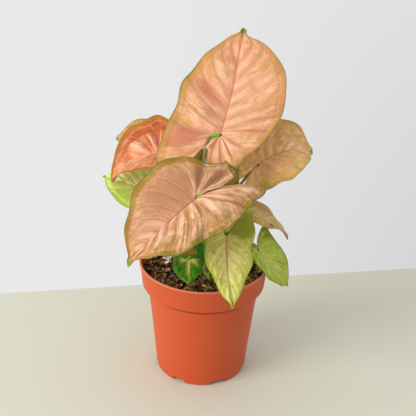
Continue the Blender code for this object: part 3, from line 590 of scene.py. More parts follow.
def relief(x, y, along, out, vein, side, leaf, build):
    """Height of the upper skin over the plain blade, as a sum: a rounded pleat between each two
    side veins, each of its own strength; fine ribs over it; soft lumps of two sizes; single
    swells and hollows; a groove along the midrib and one along the collecting vein; a brim that
    turns up beyond that; waves that grow towards the margin; and the folded lips."""
    small, half = fineness(leaf), side < 0
    from_stalk, from_rib = np.hypot(x, y), np.hypot(x, np.minimum(y, 0.0))
    calm = smooth_step(0.0, 9.0 * small, from_stalk) * smooth_step(1.0, 0.95, along)
    inside = smooth_step(0.0, 0.16, out) * smooth_step(0.98, COLLECTOR - 0.08, out)
    rng = np.random.default_rng(int(10 * build["shift"]) + side + 5)
    strengths = rng.uniform(*PLEAT_STRENGTHS, 64)
    cell = np.floor(vein).astype(int)
    pleat = strengths[cell % 64] * np.sin(np.pi * (vein - cell)) ** 0.75
    ribs = 0.10 * np.cos(8 * np.pi * vein) * smooth_step(0.1, 0.5, out)
    lumps = 0.0
    for size, share, seed in ((15.0 * small, 0.75, 5), (6.0 * small, 0.25, 6)):
        bumps = lattice_noise(x / size + 30 + 7 * side, y / size + 30 + 10 * build["shift"], seed)
        lumps = lumps + share * (bumps - 0.5)
    wave = build["wave"] * out**3 * np.sin(
        2 * np.pi * build["waves"] * along + build["shift"] + 1.7 * half)
    brim = build["brim"][half] * np.clip((out - BRIM_START) / BRIM_WIDTH, 0, 1) ** 1.2
    collector = -0.25 * build["quilt"][half] * bell(out, COLLECTOR, 0.02)
    height = build["quilt"][half] * (pleat + ribs) * inside + build["lumps"] * lumps * out**0.5
    height = height + spots(build["swells"][half], along, out)
    height = calm * (height + wave + collector + brim * smooth_step(0.0, 0.2, along))
    height = height - 0.4 * small * bell(from_rib, 0, 1.3 * small)
    return height + folds(x, y, side, leaf, build)[0]


def folds(x, y, side, leaf, build):
    """The strips folded up or down beside the notch: height, greenness and blush, where a
    negative blush is a painted highlight on the strip. A strip's share runs from nothing at its
    crease to one at the notch, by distance across from the margin."""
    notch = half_margin(leaf, side, 400)[:120]
    inner = np.interp(-y, -notch[:, 1], notch[:, 0])
    total = np.zeros((3, *x.shape))
    for width, rise, start, end, green, tone in build["lips"][side < 0]:
        stretch = smooth_step(start, start - 6, y) * smooth_step(end, end + 7, y)
        wide = width * np.clip((start - y) / 14, 0.05, 1.0)
        share = np.clip(1 - (x - inner) / wide, 0.0, 1.0)
        strip = smooth_step(0.0, 0.15, share)
        shares = np.stack([rise * share**1.1, green * strip, tone * strip])
        total += stretch * shares
    return total


def spots(table, along, out, power=1):
    """Sum of a table's spots, each a bell of its own spread. A higher power gives each a flatter
    top and a crisper edge."""
    total = np.zeros(np.broadcast(along, out).shape)
    for a, b, wide, high, size in table:
        away = ((along - a) / wide) ** 2 + ((out - b) / high) ** 2
        total = total + size * np.exp(-(away**power))
    return total


def half_skin(leaf, build, side):
    """Upper and lower skins of one half with what the lamina's pattern reads at each point."""
    rows, columns = build["rows"], build["columns"]
    along = np.linspace(0.0, 1.0, rows + 1)[None]
    out = np.linspace(0.0, 1.0, columns + 1)[:, None]
    margin, half = half_margin(leaf, side, rows + 1), side < 0
    pinch = bell(margin[:, 1] / leaf["length"], TIP_PINCH, PINCH_LENGTH)
    margin[:, 0] *= 1 - build["pinch"] * pinch
    on_rib = np.clip((along[0] - SEAM_START) / (1 - SEAM_START), 0.0, 1.0) ** SEAM_POWER
    rib = np.stack([np.zeros(rows + 1), on_rib * leaf["length"]], axis=1)
    flat = rib[None] * (1 - out[..., None]) + margin[None] * out[..., None]
    x, y = flat[..., 0], flat[..., 1]
    along, out = np.broadcast_to(along, x.shape), np.broadcast_to(out, x.shape)
    out = np.interp(out, (0.0, build["collector"][half], 1.0), (0.0, COLLECTOR, 1.0))
    swept = along - VEIN_LEAN * out**2
    fan, ladder = build["veins"]
    vein = fan * np.minimum(swept / SEAM_START, 1.0)
    vein = vein + ladder * np.maximum((swept - SEAM_START) / (1 - SEAM_START), 0.0) ** VEIN_SPREAD
    step = 0.05
    base = bent(x, y, side, leaf)
    across = bent(x + step, y, side, leaf) - base
    ahead = bent(x, y + step, side, leaf) - base
    normal = side * np.cross(across, ahead)
    normal /= np.linalg.norm(normal, axis=-1, keepdims=True)
    height = relief(x, y, along, out, vein, side, leaf, build)
    _, fold_green, fold_tone = folds(x, y, side, leaf, build)
    from_rib = np.hypot(x, np.minimum(y, 0.0))
    line = bell(vein, np.round(vein), 0.07) * (1 - out)
    thick = THICKNESS + RIB_THICKNESS * bell(from_rib, 0, 1.2) + VEIN_THICKNESS * line
    thick = fineness(leaf) * thick
    top = base + height[..., None] * normal
    low = base + (height - thick)[..., None] * normal
    facts = dict(
        along=along, rib=from_rib, stalk=np.hypot(x, y), vein=side * vein, out=out,
        lively=np.full(x.shape, build["lively"][half]),
        tone=spots(build["tones"][half], along, out, 2) + fold_tone,
        green=spots(build["greens"][half], along, out, 2) + fold_green)
    return top, low, base, facts


def make_blade(name, material):
    """The closed lamina: two halves joined along the midrib, upper and lower skins joined round
    the margin. It is placed so that the plain blade's box is centred on the frame's leaf."""
    leaf, build = LEAVES[name], BUILD[name]
    skins = {side: half_skin(leaf, build, side) for side in (1, -1)}
    plain = np.concatenate([skins[side][2].reshape(-1, 3) for side in (1, -1)]) @ blade_axes(leaf).T
    for i in (0, 1):
        skins[-1][i][0] = skins[1][i][0]
        for side in (1, -1):
            skins[side][i][:, -1] = skins[1][i][0, -1]
            skins[side][i][:, 0] = skins[1][i][0, 0]
    points, quads, uvs, start = [], [], [], 0
    facts = {label: [] for label in FACTS}
    for side, (top, low, _, fact) in skins.items():
        wide, long = top.shape[:2]
        for under, skin in ((0, top), (1, low)):
            points.append(skin.reshape(-1, 3))
            quads.append(grid_quads(wide, long, start + under * wide * long))
            uvs.append(np.stack([fact["vein"], fact["out"]], axis=-1).reshape(-1, 2))
            fact["under"] = np.full((wide, long), float(under))
            for label in FACTS:
                facts[label].append(fact[label].ravel())
        edge = start + (wide - 1) * long + np.arange(long - 1)
        below = edge + wide * long
        quads.append(np.stack([edge, edge + 1, below + 1, below], axis=-1))
        start += 2 * wide * long
    low, high = (np.array(corner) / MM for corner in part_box(f"leaf_{name}"))
    at = (low + high) / 2 - (plain.min(axis=0) + plain.max(axis=0)) / 2
    points = np.concatenate(points) @ blade_axes(leaf).T + at
    made = solid(
        f"lamina_{name}", points, np.concatenate(quads), material, np.concatenate(uvs),
        {label: np.concatenate(value) for label, value in facts.items()})
    settle(made, f"blade_{name}", f"leaf_{name}")


# ==================== leaf finish
def lamina(name, place):
    """Leaf lamina: living tissue under a thin cuticle, so a soft satin with light that sinks in a
    little. The colour lies in streaks between the side veins, duller and greener to the margin.
    The streaks are taken from the noise at the given place."""
    tints, strengths = LOOKS[name]
    look = {tint: "#" + code for tint, code in zip(TINTS, tints.split())}
    look.update(zip(LAYERS, strengths))
    small = fineness(LEAVES[name])
    rows = [
        ("map", VEIN_MAP), ("vein", FIRST, "map"), ("out", SECOND, "map"),
        # streaks along the side veins, about 1 mm across; pleats, each with its own tone;
        # clouds of about 6 mm; and a grain of about 1 mm
        ("across", TIMES, "vein", 8.0), ("down", TIMES, "out", 5.0),
        ("fine at", JOIN, "across", "down", place),
        ("fine", NOISE, "fine at", 1.0, 4.0, 0.6),
        ("across", TIMES, "vein", 2.3), ("down", TIMES, "out", 2.2),
        ("broad at", JOIN, "across", "down", place + 9),
        ("broad", NOISE, "broad at", 1.0, 3.0, 0.55),
        ("clouds", NOISE, "place", 170.0, 5.0, 0.7),
        ("grain", NOISE, "place", 900.0, 3.0, 0.7),
        ("mottle", TIMES_PLUS, "clouds", 0.36, -0.06),
        ("mottle", TIMES_PLUS, "broad", 0.36, "mottle"),
        ("mottle", TIMES_PLUS, "fine", 0.30, "mottle"),
        ("mottle", TIMES_PLUS, "out", 0.11, "mottle"),
        ("wander", TIMES_PLUS, "clouds", 0.2, "vein"),
        ("wander", LESS, "wander", 0.1),
        ("away", ZIGZAG, "wander", 0.5),
        # the shares in which each colour lies over the ones before
        ("pale", EASE, "mottle", 0.56, 0.42),
        # pale crowns on the pleats' crests: painted highlight, mixed with the leaf's own paler
        # streaks
        ("crown", EASE, "away", 0.1, 0.4),
        ("crown", TIMES, "crown", "pale"),
        ("crown", TIMES, "crown", "lively"),
        ("patch", TIMES_PLUS, "grain", 0.2, "mottle"),
        ("patch", EASE, "patch", 0.57, 0.68),
        ("patch", TIMES, "patch", "lively"),
        ("dash", TIMES_PLUS, "grain", 0.35, "fine"),
        ("fleck", EASE, "dash", 0.66, 0.76),
        ("beside", EASE, "away", 0.34, 0.12),
        ("fleck", TIMES, "fleck", "beside"),
        # from the tone: painted shade in hollows, painted highlight on rises, and the leaf's blush
        ("dusk", SCALE, "tone", 0.0, 1.0, 0.0, 0.85),
        ("glow", SCALE, "tone", 0.0, -1.0, 0.0, 0.8),
        ("glow spread", EASE, "mottle", 0.62, 0.42),
        ("glow", TIMES, "glow", "glow spread"),
        ("ragged", TIMES_PLUS, "mottle", 1.6, -0.8),
        ("ragged", TIMES_PLUS, "green", 1.0, "ragged"),
        ("greened", EASE, "ragged", 0.25, 0.75),
        # a thin line at each whole number of "vein", finer ones between, and one near the margin
        ("line", EASE, "away", 0.065, 0.0),
        ("four", TIMES, "wander", 4.0),
        ("four", ZIGZAG, "four", 0.5),
        ("fine line", EASE, "four", 0.17, 0.0, 0.0, 0.4),
        ("line", HIGHER, "line", "fine line"),
        ("inside", EASE, "out", 0.94, 0.84),
        ("line", TIMES, "line", "inside"),
        ("round", LESS, "out", COLLECTOR),
        ("round", SIZE, "round"),
        ("round", EASE, "round", 0.030, 0.004, 0.0, 0.6),
        ("line", HIGHER, "line", "round"),
        ("broken", EASE, "grain", 0.3, 0.55),
        ("broken", TIMES, "line", "broken"),
        # the margin's duller band, its thin edge, the tip, the midrib and the knob at the stalk
        ("band", TIMES_PLUS, "mottle", 0.25, "out"),
        ("band", EASE, "band", 0.99, 1.08),
        ("edge", EASE, "out", 0.978, 0.994),
        ("tip", EASE, "along", 0.96, 0.99),
        ("midrib", EASE, "rib", 0.8 * small, 0.25 * small),
        ("rib fade", EASE, "along", 1.0, 0.75),
        ("midrib", TIMES, "midrib", "rib fade"),
        ("knob", EASE, "stalk", 2.4 * small, 1.2 * small),
        ("shade", SCALE, "grain", 0.3, 0.7, 0.86, 1.13),
        ("rough", TIMES_PLUS, "grain", 0.16, 0.36),
        ("height", TIMES_PLUS, "fine", 1.2, "grain"),
        ("height", TIMES_PLUS, "line", -0.5, "height"),
        ("bump", BUMP, "height", 0.4, 0.0005),
    ]
    if name in STARS:
        rows += [
            # a pale streak down the midrib, and a wing out of it on either side
            ("star", EASE, "rib", 2.2, 0.4),
            ("reach", EASE, "stalk", 19.0, 5.0),
            ("star", TIMES, "star", "reach"),
            ("wing", SIZE, "vein"),
            ("wing", LESS, "wing", 2.15),
            ("wing", SIZE, "wing"),
            ("wing", EASE, "wing", 0.75, 0.15),
            ("far", EASE, "out", 0.78, 0.35),
            ("wing", TIMES, "wing", "far"),
            ("star", HIGHER, "star", "wing"),
            ("blotch", EASE, "mottle", 0.62, 0.48),
            ("star", TIMES, "star", "blotch"),
        ]
    colour = look["body"]
    for share, strength, over in (
        ("crown", look["crowns"], look["pale"]), ("patch", look["patches"], look["patch"]),
        ("fleck", look["flecks"], look["fleck"]), ("dusk", 1.0, look["dusk"]),
        ("band", look["margin"], look["band"]), ("glow", 1.0, look["pale"]),
        ("star", 1.0, STARS.get(name)), ("broken", look["veins"], look["vein"]),
        ("edge", 0.9, look["edge"]), ("greened", 0.85, look["green"]), ("tip", 1.0, look["tip"]),
        ("midrib", look["midrib"], look["rib"]), ("knob", 1.0, "#46701A"),
        ("under", 0.7, look["under"]),
    ):
        if over:
            rows += [("share", TIMES, share, strength), ("colour", OVER, "share", colour, over)]
            colour = "colour"
    rows.append(("colour", DIM, "colour", "shade"))
    return make_material(f"leaf_lamina_{name}", FACTS, rows, {
        "Roughness": "rough", "Normal": "bump", "IOR": 1.42, "Specular IOR Level": 0.22,
        "Subsurface Weight": 0.12, "Subsurface Radius": (1.0, 0.6, 0.3), "Subsurface Scale": MM})


# ==================== stalks and stems
def tube(path, radii, turns):
    """Skin of a tube: rings square to the path, one to each path point, and beyond the first and
    the last a closing point repeated round. Returns the points and each one's share of the way
    along."""
    ahead = np.gradient(path, axis=0)
    ahead /= np.linalg.norm(ahead, axis=1, keepdims=True)
    level = np.cross(path[-1] - path[0], (0.0, 0.0, 1.0))
    level = level if np.linalg.norm(level) > 1e-6 else np.array([1.0, 0.0, 0.0])
    side = level - (ahead @ level)[:, None] * ahead
    side /= np.linalg.norm(side, axis=1, keepdims=True)
    other = np.cross(ahead, side)
    angle = round_angles(turns)[None, :, None]
    ring = np.cos(angle) * side[:, None] + np.sin(angle) * other[:, None]
    points = path[:, None] + ring * radii[..., None]
    ends = np.broadcast_to(points[[0, -1]].mean(axis=1, keepdims=True), (2, turns, 3))
    points = np.concatenate([ends[:1], points, ends[1:]])
    share = np.concatenate([[0.0], np.linspace(0, 1, len(path)), [1.0]])
    return points, np.broadcast_to(share[:, None], points.shape[:2])


def stalk_path(leaf, count):
    """Up from beside the stem in one long arc, then through the notch to the blade's base."""
    x, y, _ = STEMS[leaf["stem"]]
    side = math.radians(leaf["side"])
    outward = np.array([math.cos(side), math.sin(side), 0.0])
    reach = STEM_RADIUS + 0.3 + STALK_RADII[0] * leaf["girth"]
    start = np.array([x, y, STALK_FOOT]) + reach * outward
    leave = outward * STALK_SPREAD + np.array([0.0, 0.0, 1.0])
    axes = blade_axes(leaf)
    arrive = np.array(leaf["arrive"], float)
    arrive /= np.linalg.norm(arrive)
    base = np.array(leaf["at"], float)
    knee = np.array(leaf.get("knee", PLAIN_KNEE), float)
    bends = knee * min(1.0, leaf["length"] / KNEE_LEAF) @ axes.T + base
    end = bends[-1] - axes[:, 2] * leaf["girth"]
    span = np.linalg.norm(end - start)
    handles = (start, start + leave * span * 0.38, end - arrive * span * 0.32, end)
    t = np.linspace(0.0, 0.9, 9)[:, None]
    weights = ((1 - t) ** 3, 3 * t * (1 - t) ** 2, 3 * t**2 * (1 - t), t**3)
    arc = sum(w * h for w, h in zip(weights, handles))
    return smooth_curve([*arc, *bends[::-1], base - axes[:, 2] * 0.5], count)


def make_stalk(name, material):
    """A leaf stalk: broad and sheathing at the foot, slender above, swollen at the knee."""
    leaf = LEAVES[name]
    rows, turns = 64, 18
    path = stalk_path(leaf, rows)
    share, angle = np.linspace(0, 1, rows)[:, None], round_angles(turns)[None]
    plain = STALK_RADII[0] * (1 - share) + STALK_RADII[1] * share
    sheath = 1 + 0.12 * smooth_step(0.35, 0.0, share) * np.cos(2 * angle)
    channel = 1 - 0.14 * smooth_step(0.5, 0.25, share) * bell(angle, np.pi, 0.5)
    knee = 1 + 0.12 * bell(share, 0.96, 0.025)
    points, along = tube(path, plain * leaf["girth"] * sheath * channel * knee, turns)
    to_blade = (1 - along) * np.linalg.norm(np.diff(path, axis=0), axis=1).sum()
    lime = smooth_step(KNEE_LENGTH + 3.0, KNEE_LENGTH, to_blade)
    made = sleeve(f"stalk_{name}", points, material, along=along, lime=lime)
    settle(made, "stalk", f"petiole_{name}")


def make_stem(index, material):
    """A short stem with two swollen joints, tapering to a blunt bud. Its girth rises from the
    buried end to full, and falls again over the last 8 mm."""
    x, y, top = STEMS[index]
    rows, turns = 60, 28
    z = np.linspace(SOIL_TOP - 11.8, top - 0.2, rows)
    path = np.stack([np.full(rows, x), np.full(rows, y), z], axis=1)
    height = z[:, None]
    levels = (z[0], z[0] + 1.5, SOIL_TOP, top - 8, top - 1, top)
    radius = np.interp(height, levels, (0.8, 1, 1, 0.9, 0.6, 0.3))
    for joint in (SOIL_TOP + 4.5, top - 4.5):
        radius = radius * (1 + 0.1 * bell(height, joint, 0.7))
    radius = radius * (1 + 0.03 * np.sin(5 * round_angles(turns)[None] + height / 3))
    points, along = tube(path, STEM_RADIUS * 0.97 * radius, turns)
    made = sleeve(f"short_stem_{index + 1}", points, material, along=along)
    settle(made, "stem", f"stem_{index + 1}")


def stalk_skin():
    """Leaf stalk: smooth living skin, dull olive going browner at the foot, bright green at the
    knee, with faint lengthwise streaks."""
    return make_material("stalk_epidermis", ("along", "lime"), (
        # streaks about 1 mm wide and 8 mm long
        ("stretched", STRETCH, "place", (1.0, 1.0, 0.12)),
        ("streaks", NOISE, "stretched", 900.0, 3.0, 0.5),
        ("low", SCALE, "along", 0.0, 0.3, 0.0, 1.0),
        ("shade", SCALE, "streaks", 0.35, 0.7, 0.0, 0.5),
        ("colour", OVER, "low", "#7C6C3C", "#86792E"),
        ("colour", OVER, "shade", "colour", "#56641C"),
        ("colour", OVER, "lime", "colour", "#7CB81C"),
    ), {"Roughness": 0.4, "Subsurface Weight": 0.1, "Subsurface Scale": MM})


def stem_skin():
    """Short stem: green skin going brown and corky towards the soil."""
    return make_material("stem_epidermis", ("along",), (
        # blots of about 2 mm
        ("blots", NOISE, "place", 500.0, 4.0, 0.5),
        ("level", TIMES_PLUS, "blots", 0.5, "along"),
        ("share", SCALE, "level", 0.65, 0.95, 0.0, 1.0),
        ("colour", OVER, "share", "#6A5836", "#7E9448"),
        ("bump", BUMP, "blots", 0.4, 0.0004),
    ), {"Normal": "bump", "Roughness": 0.55})


# ==================== pot
def make_pot(material):
    """The profile turned about the pot's axis. Round the foot the outer skin is lifted to the
    notch's roof wherever an angle falls inside a notch. Inside the ring that it stands on, the
    underside is a little hollow."""
    angle = round_angles(POT_TURNS)
    radius, height = np.array(POT_PROFILE).T[..., None]
    notch = np.zeros(POT_TURNS)
    for middle, width in NOTCHES:
        turned = (angle - math.radians(middle) + np.pi) % (2 * np.pi) - np.pi
        away = np.abs(turned) * FOOT_RADIUS
        notch = np.maximum(notch, smooth_step(width / 2 + 0.5, width / 2 - 0.3, away))
    row = np.arange(len(POT_PROFILE))[:, None]
    foot = (row >= FOOT_ROWS[0]) & (row <= FOOT_ROWS[1]) & (radius > FOOT_INSIDE)
    z = np.where(foot, np.maximum(height, NOTCH_HEIGHT * notch[None]), height)
    settle(sleeve("pot_shell", polar(radius, angle, z), material), "pot", "nursery_pot")


def pot_plastic():
    """Injection-moulded polypropylene, filled terracotta orange: an even satin with very faint
    flow marks round it, a painted highlight on the top of the lip and a painted shadow line
    under the band."""
    return make_material("moulded_polypropylene", (), (
        ("height", THIRD, "place"),
        # flow marks of about 35 mm round and 12 mm high, and a grain of about 1 mm
        ("rings", STRETCH, "place", (1.0, 1.0, 3.0)),
        ("flow", NOISE, "rings", 28.0, 4.0, 0.5),
        ("grain", NOISE, "place", 900.0, 2.0, 0.5),
        ("share", SCALE, "flow", 0.3, 0.7, 0.0, 1.0),
        # the lip's top 1.5 mm, painted paler as a highlight, and a painted shadow line under the
        # band, in metres
        ("lip", SCALE, "height", 0.0952, 0.0966, 0.0, 0.5),
        ("from line", LESS, "height", 0.0746),
        ("from line", SIZE, "from line"),
        ("line", EASE, "from line", 0.0021, 0.0004, 0.0, 0.85),
        ("colour", OVER, "share", "#BF4C22", "#C35026"),
        # a painted highlight on the lip's top, then a painted shadow line under the band
        ("colour", OVER, "lip", "colour", "#E2906E"),
        ("colour", OVER, "line", "colour", "#7C2C10"),
        ("rough", SCALE, "grain", 0.0, 1.0, 0.42, 0.54),
        ("bump", BUMP, "flow", 0.05, 0.0004),
    ), {"Roughness": "rough", "Normal": "bump", "IOR": 1.49, "Specular IOR Level": 0.35})


# ==================== soil
def soil_height(x, y):
    """Three crossing waves with three sizes of crumb on them, sharpened so as to stand proud."""
    waves = 1.1 * (
        0.5 * np.sin(x / 7.3 + 1.1) * np.cos(y / 6.1) + 0.35 * np.sin((x + y) / 4.2 + 0.4)
        + 0.25 * np.cos((x - 2 * y) / 5.3))
    crumbs = 0.0
    for size, rise, seed in ((7.0, 2.0, 11), (3.2, 1.8, 12), (1.5, 0.8, 13)):
        crumbs = crumbs + rise * (lattice_noise(x / size + 40, y / size + 40, seed) ** 1.5 - 0.35)
    return SOIL_TOP + waves + crumbs


def make_soil(material):
    """The bed: rings out from the middle over the crumbly top, down the wall and under."""
    angle = round_angles(300)[None]
    ring = (np.linspace(0.0, 1.0, 110) ** 0.85 * SOIL_RADIUS)[:, None]
    top = soil_height(ring * np.cos(angle), ring * np.sin(angle))
    radius, z = np.array(SOIL_SIDES).T[..., None]
    points = np.concatenate([polar(ring, angle, top), polar(radius, angle, z)])
    settle(sleeve("peat_bed", points, material), "soil", "potting_soil")


def block_ball():
    """A rounded block of 24 four-sided faces: a cube cut in four on each side, pushed round."""
    steps = np.array([-1.0, 0.0, 1.0])
    a, b = np.meshgrid(steps, steps, indexing="ij")
    a, b = a.ravel(), b.ravel()
    one = np.ones_like(a)
    sides = [(one, a, b), (-one, b, a), (b, one, a), (a, -one, b), (a, b, one), (b, a, -one)]
    points = np.concatenate([np.stack(side, axis=1) for side in sides])
    quads = np.concatenate([grid_quads(3, 3, start=9 * i) for i in range(6)])
    merged, index = np.unique(points, axis=0, return_inverse=True)
    quads = index.reshape(-1)[quads]
    return merged / np.linalg.norm(merged, axis=1, keepdims=True) ** 0.55, quads


def repeated(quads, count, points):
    """The same quads for each of many equal pieces of so many points."""
    return (quads[None] + points * np.arange(count)[:, None, None]).reshape(-1, 4)


def scatter(name, places, sizes, flatness, rough, seed, material, sink=0.35, flat=False):
    """Many small lumps as one piece: the rounded block, stretched, dented and turned at random,
    half sunk in the bed at each place."""
    rng = np.random.default_rng(seed)
    ball, quads = block_ball()
    count = len(places)
    stretch = sizes[:, None] * rng.uniform(0.7, 1.25, (count, 3)) * np.array(flatness)
    dents = 1 + rough * rng.uniform(-1, 1, (count, len(ball), 1))
    points = ball[None] * dents * stretch[:, None]
    turn = rng.uniform(0, 2 * np.pi, count)[:, None]
    tip = rng.uniform(-0.5, 0.5, count)[:, None]
    x, y, z = points[..., 0], points[..., 1], points[..., 2]
    y, z = y * np.cos(tip) - z * np.sin(tip), y * np.sin(tip) + z * np.cos(tip)
    x, y = x * np.cos(turn) - y * np.sin(turn), x * np.sin(turn) + y * np.cos(turn)
    lift = soil_height(places[:, 0], places[:, 1]) + sizes * flatness[2] * (1 - 2 * sink)
    points = np.stack([x + places[:, :1], y + places[:, 1:], z + lift[:, None]], axis=-1)
    every = repeated(quads, count, len(ball))
    settle(solid(name, points.reshape(-1, 3), every, material, flat=flat), "soil")


def spread(rng, count, reach):
    """Even random places over a disc, clear of the stems."""
    radius, angle = reach * np.sqrt(rng.random(3 * count)), rng.uniform(0, 2 * np.pi, 3 * count)
    places = np.stack([radius * np.cos(angle), radius * np.sin(angle)], axis=1)
    gaps = [np.hypot(places[:, 0] - x, places[:, 1] - y) > STEM_CLEAR for x, y, _ in STEMS]
    return places[np.logical_and.reduce(gaps)][:count]


def peat(name, dark, brown, pale):
    """Damp peat and composted bark: nearly black fibre crumbs with warm brown and a few tan
    bits, matt, with a slight glint of moisture. Where the clods thin out, the colour falls to near
    black as painted shade for the gaps between clods."""
    return make_material(name, (), (
        # crumbs of about 1.5 mm, clods of about 6 mm and fibre finer than 1 mm
        ("bits", CELLS, "place", 650.0), ("one", FIRST, "bits"), ("two", SECOND, "bits"),
        ("clods", NOISE, "place", 170.0, 3.0, 0.6),
        ("fibre", NOISE, "place", 1400.0, 4.0, 0.5),
        ("clod share", EASE, "clods", 0.46, 0.62),
        ("share", TIMES, "one", "fibre"),
        ("share", TIMES_PLUS, "clod share", 0.55, "share"),
        # near black where the clods thin out: painted shade for the gaps between clods
        ("open", SCALE, "clods", 0.42, 0.56, 0.12, 1.1),
        ("share", TIMES, "share", "open"),
        ("rare", SCALE, "two", 0.84, 0.94, 0.0, 0.9),
        ("rare", TIMES, "rare", "open"),
        ("colour", OVER, "share", dark, brown),
        ("colour", OVER, "rare", "colour", pale),
        ("bump", BUMP, "fibre", 0.7, 0.0006),
    ), {"Normal": "bump", "Roughness": 0.85, "Specular IOR Level": 0.25})


def perlite_glass():
    """Expanded perlite: white foamed volcanic glass, matt and pitted, tinged by the peat."""
    return make_material("expanded_perlite", (), (
        # pits of about 0.5 mm and stains of about 2 mm
        ("pits", PITS, "place", 2200.0),
        ("dirt", NOISE, "place", 600.0, 3.0, 0.5),
        ("share", SCALE, "dirt", 0.5, 0.75, 0.0, 1.0),
        ("colour", OVER, "share", "#FAF6EC", "#CDBB9E"),
        ("bump", BUMP, "pits", 0.6, 0.0003),
    ), {"Normal": "bump", "Roughness": 0.8})


def moss_leaf():
    """Young moss shoots: thin wet green tissue, bright where light comes through."""
    return make_material("moss_shoots", (), (
        # paler and darker shoots, about 2 mm apart
        ("shoots", NOISE, "place", 500.0, 2.0, 0.5),
        ("share", SCALE, "shoots", 0.35, 0.65, 0.0, 1.0),
        ("colour", OVER, "share", "#78C030", "#D2F07C"),
    ), {"Roughness": 0.5, "Subsurface Weight": 0.2, "Subsurface Scale": MM})


def make_moss():
    """A tuft of slender shoots, 3 to 12 mm long, in front of the stems: each is a thin three-sided
    spike that leans out from its foot."""
    rng, count = np.random.default_rng(31), 46
    lean, turn = rng.uniform(0.05, 0.65, count), rng.uniform(0, 2 * np.pi, count)
    foot = np.array([MOSS_AT]) + rng.normal(0, 1.9, (count, 2))
    size = rng.uniform(3.0, 12.0, count)
    ahead = polar(np.sin(lean), turn, np.cos(lean))
    base = np.column_stack([foot, soil_height(foot[:, 0], foot[:, 1]) - 0.6])
    ring = polar(1.0, turn[:, None] + np.array([0.0, 2.1, 4.2]), 0.0)
    wide = 0.09 * size[:, None, None]
    rings = [
        base[:, None] + ring * wide * swell + (ahead * size[:, None] * rise)[:, None]
        for swell, rise in ((0.0, 0.0), (0.6, 0.02), (1.0, 0.45), (0.7, 0.8), (0.0, 1.0))]
    points = np.stack(rings, axis=1).reshape(-1, 3)
    quads = repeated(grid_quads(5, 3, closed=True), count, 15)
    settle(solid("moss_tuft", points, quads, moss_leaf()), "soil")


def dress_soil():
    """Crumbs, most of them small, then bark, then perlite: a heap on the left, a few large grains
    in places of their own, and a sprinkling of small ones."""
    rng = np.random.default_rng(7)
    crumbs, chips, heaped, sprinkled = 620, 120, 18, 110
    scatter(
        "peat_crumbs", spread(rng, crumbs, 46.5), 0.5 + 2.3 * rng.random(crumbs) ** 2,
        (1.0, 0.9, 0.75), 0.22, 21, peat("peat_crumb", "#22160A", "#AE843C", "#DCBA78"))
    scatter(
        "bark_chips", spread(rng, chips, 44.0), rng.uniform(1.5, 3.8, chips), (1.2, 0.75, 0.4),
        0.2, 22, peat("composted_pine_bark", "#2C1C0C", "#8C6A32", "#D2B078"), flat=True)
    heap = np.array([-28.0, 12.0]) + rng.normal(0, 1, (heaped, 2)) * np.array([3.2, 3.6])
    *single, large = np.array(LARGE_GRAINS).T
    grains = np.concatenate([heap, np.transpose(single), spread(rng, sprinkled, 46.0)])
    sizes = [rng.uniform(1.0, 2.0, heaped), large, rng.uniform(0.35, 1.0, sprinkled)]
    scatter(
        "perlite_grains", grains, np.concatenate(sizes), (1.0, 0.95, 0.85), 0.16, 23,
        perlite_glass(), sink=0.3)


# ==================== stage
def make_table():
    """A pale slab that ends behind the pot. Its far edge runs a little askew."""
    left, right, front, top, under = -3000.0, 3000.0, -3000.0, -0.1, -20.1
    back = [TABLE_BACK + TABLE_SKEW * x for x in (left, right)]
    corners = [(left, front), (right, front), (right, back[1]), (left, back[0])]
    points = np.array([(*corner, z) for z in (top, under) for corner in corners])
    sides = [(i, i + 4, (i + 1) % 4 + 4, (i + 1) % 4) for i in range(4)]
    quads = np.array([(0, 1, 2, 3), (7, 6, 5, 4), *sides])
    laminate = make_material("matt_laminate", (), (
        # clouds of about 330 mm
        ("cloud", NOISE, "place", 3.0, 2.0, 0.5),
        ("colour", OVER, "cloud", "#D6D6C3", "#D8D8C5"),
    ), {"Roughness": 0.65})
    table = solid("table_top", points, quads, laminate, flat=True)


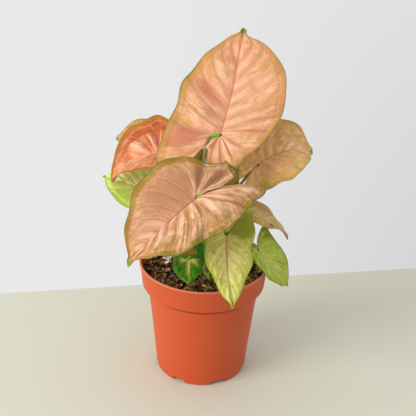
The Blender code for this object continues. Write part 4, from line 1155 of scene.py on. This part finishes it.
def make_room():
    """A pale grey room, darker low down on the right, and one large soft lamp at the front left."""
    world = bpy.data.worlds.new("pale_room")
    bpy.context.scene.world = world
    world.use_nodes = True
    tree = world.node_tree
    at = {"towards": add(tree, "TexCoord", give="Generated")}
    wire(tree, at, (
        ("right", FIRST, "towards"),
        ("right", SCALE, "right", -0.1, 0.3, 0.0, 1.0),
        ("up", THIRD, "towards"),
        ("down", SCALE, "up", -0.15, -0.55, 0.4, 1.0),
        ("darker", TIMES, "right", "down"),
        ("colour", OVER, "darker", "#E9E9EA", "#D0D0D2"),
    ))
    tree.links.new(at["colour"], tree.nodes["Background"].inputs["Color"])
    tree.nodes["Background"].inputs["Strength"].default_value = 1.0
    lamp = bpy.data.lights.new("window", "AREA")
    lamp.shape = "DISK"
    lamp.size, lamp.energy, lamp.color = LAMP_SIZE, LAMP_WATTS, LAMP_COLOUR
    holder = bpy.data.objects.new("window", lamp)
    bpy.context.scene.collection.objects.link(holder)
    holder.location = LAMP_AT
    towards = Vector(LAMP_AIM) - Vector(LAMP_AT)
    holder.rotation_euler = towards.to_track_quat("-Z", "Y").to_euler()


def make_camera():
    """A long lens that looks down on the plant from the front, tipped a little to one side."""
    elevation, roll = math.radians(ELEVATION), math.radians(ROLL)
    ahead = Vector((0.0, math.cos(elevation), -math.sin(elevation)))
    right = Vector((1.0, 0.0, 0.0))
    up = right.cross(ahead)
    across = right * math.cos(roll) + up * math.sin(roll)
    upward = up * math.cos(roll) - right * math.sin(roll)
    data = bpy.data.cameras.new("camera")
    data.sensor_width = SENSOR
    data.lens = SENSOR / 2 / math.tan(math.radians(VIEW / 2))
    camera = bpy.data.objects.new("camera", data)
    bpy.context.scene.collection.objects.link(camera)
    turn = Matrix((across, upward, -ahead)).transposed().to_4x4()
    place = Vector(AIM) * MM - ahead * DISTANCE * MM
    camera.matrix_world = Matrix.Translation(place) @ turn
    bpy.context.scene.camera = camera


# ==================== the plant
make_pot(pot_plastic())
make_soil(peat("damp_peat", "#100804", "#96602C", "#C89E5C"))
dress_soil()
make_moss()
stalk_finish, stem_finish = stalk_skin(), stem_skin()
for index in range(len(STEMS)):
    make_stem(index, stem_finish)
for order, name in enumerate(LEAVES):
    make_blade(name, lamina(name, LEAF_STEP * order))
    make_stalk(name, stalk_finish)
make_table()
make_room()
make_camera()
bpy.context.scene.view_settings.view_transform = "Standard"
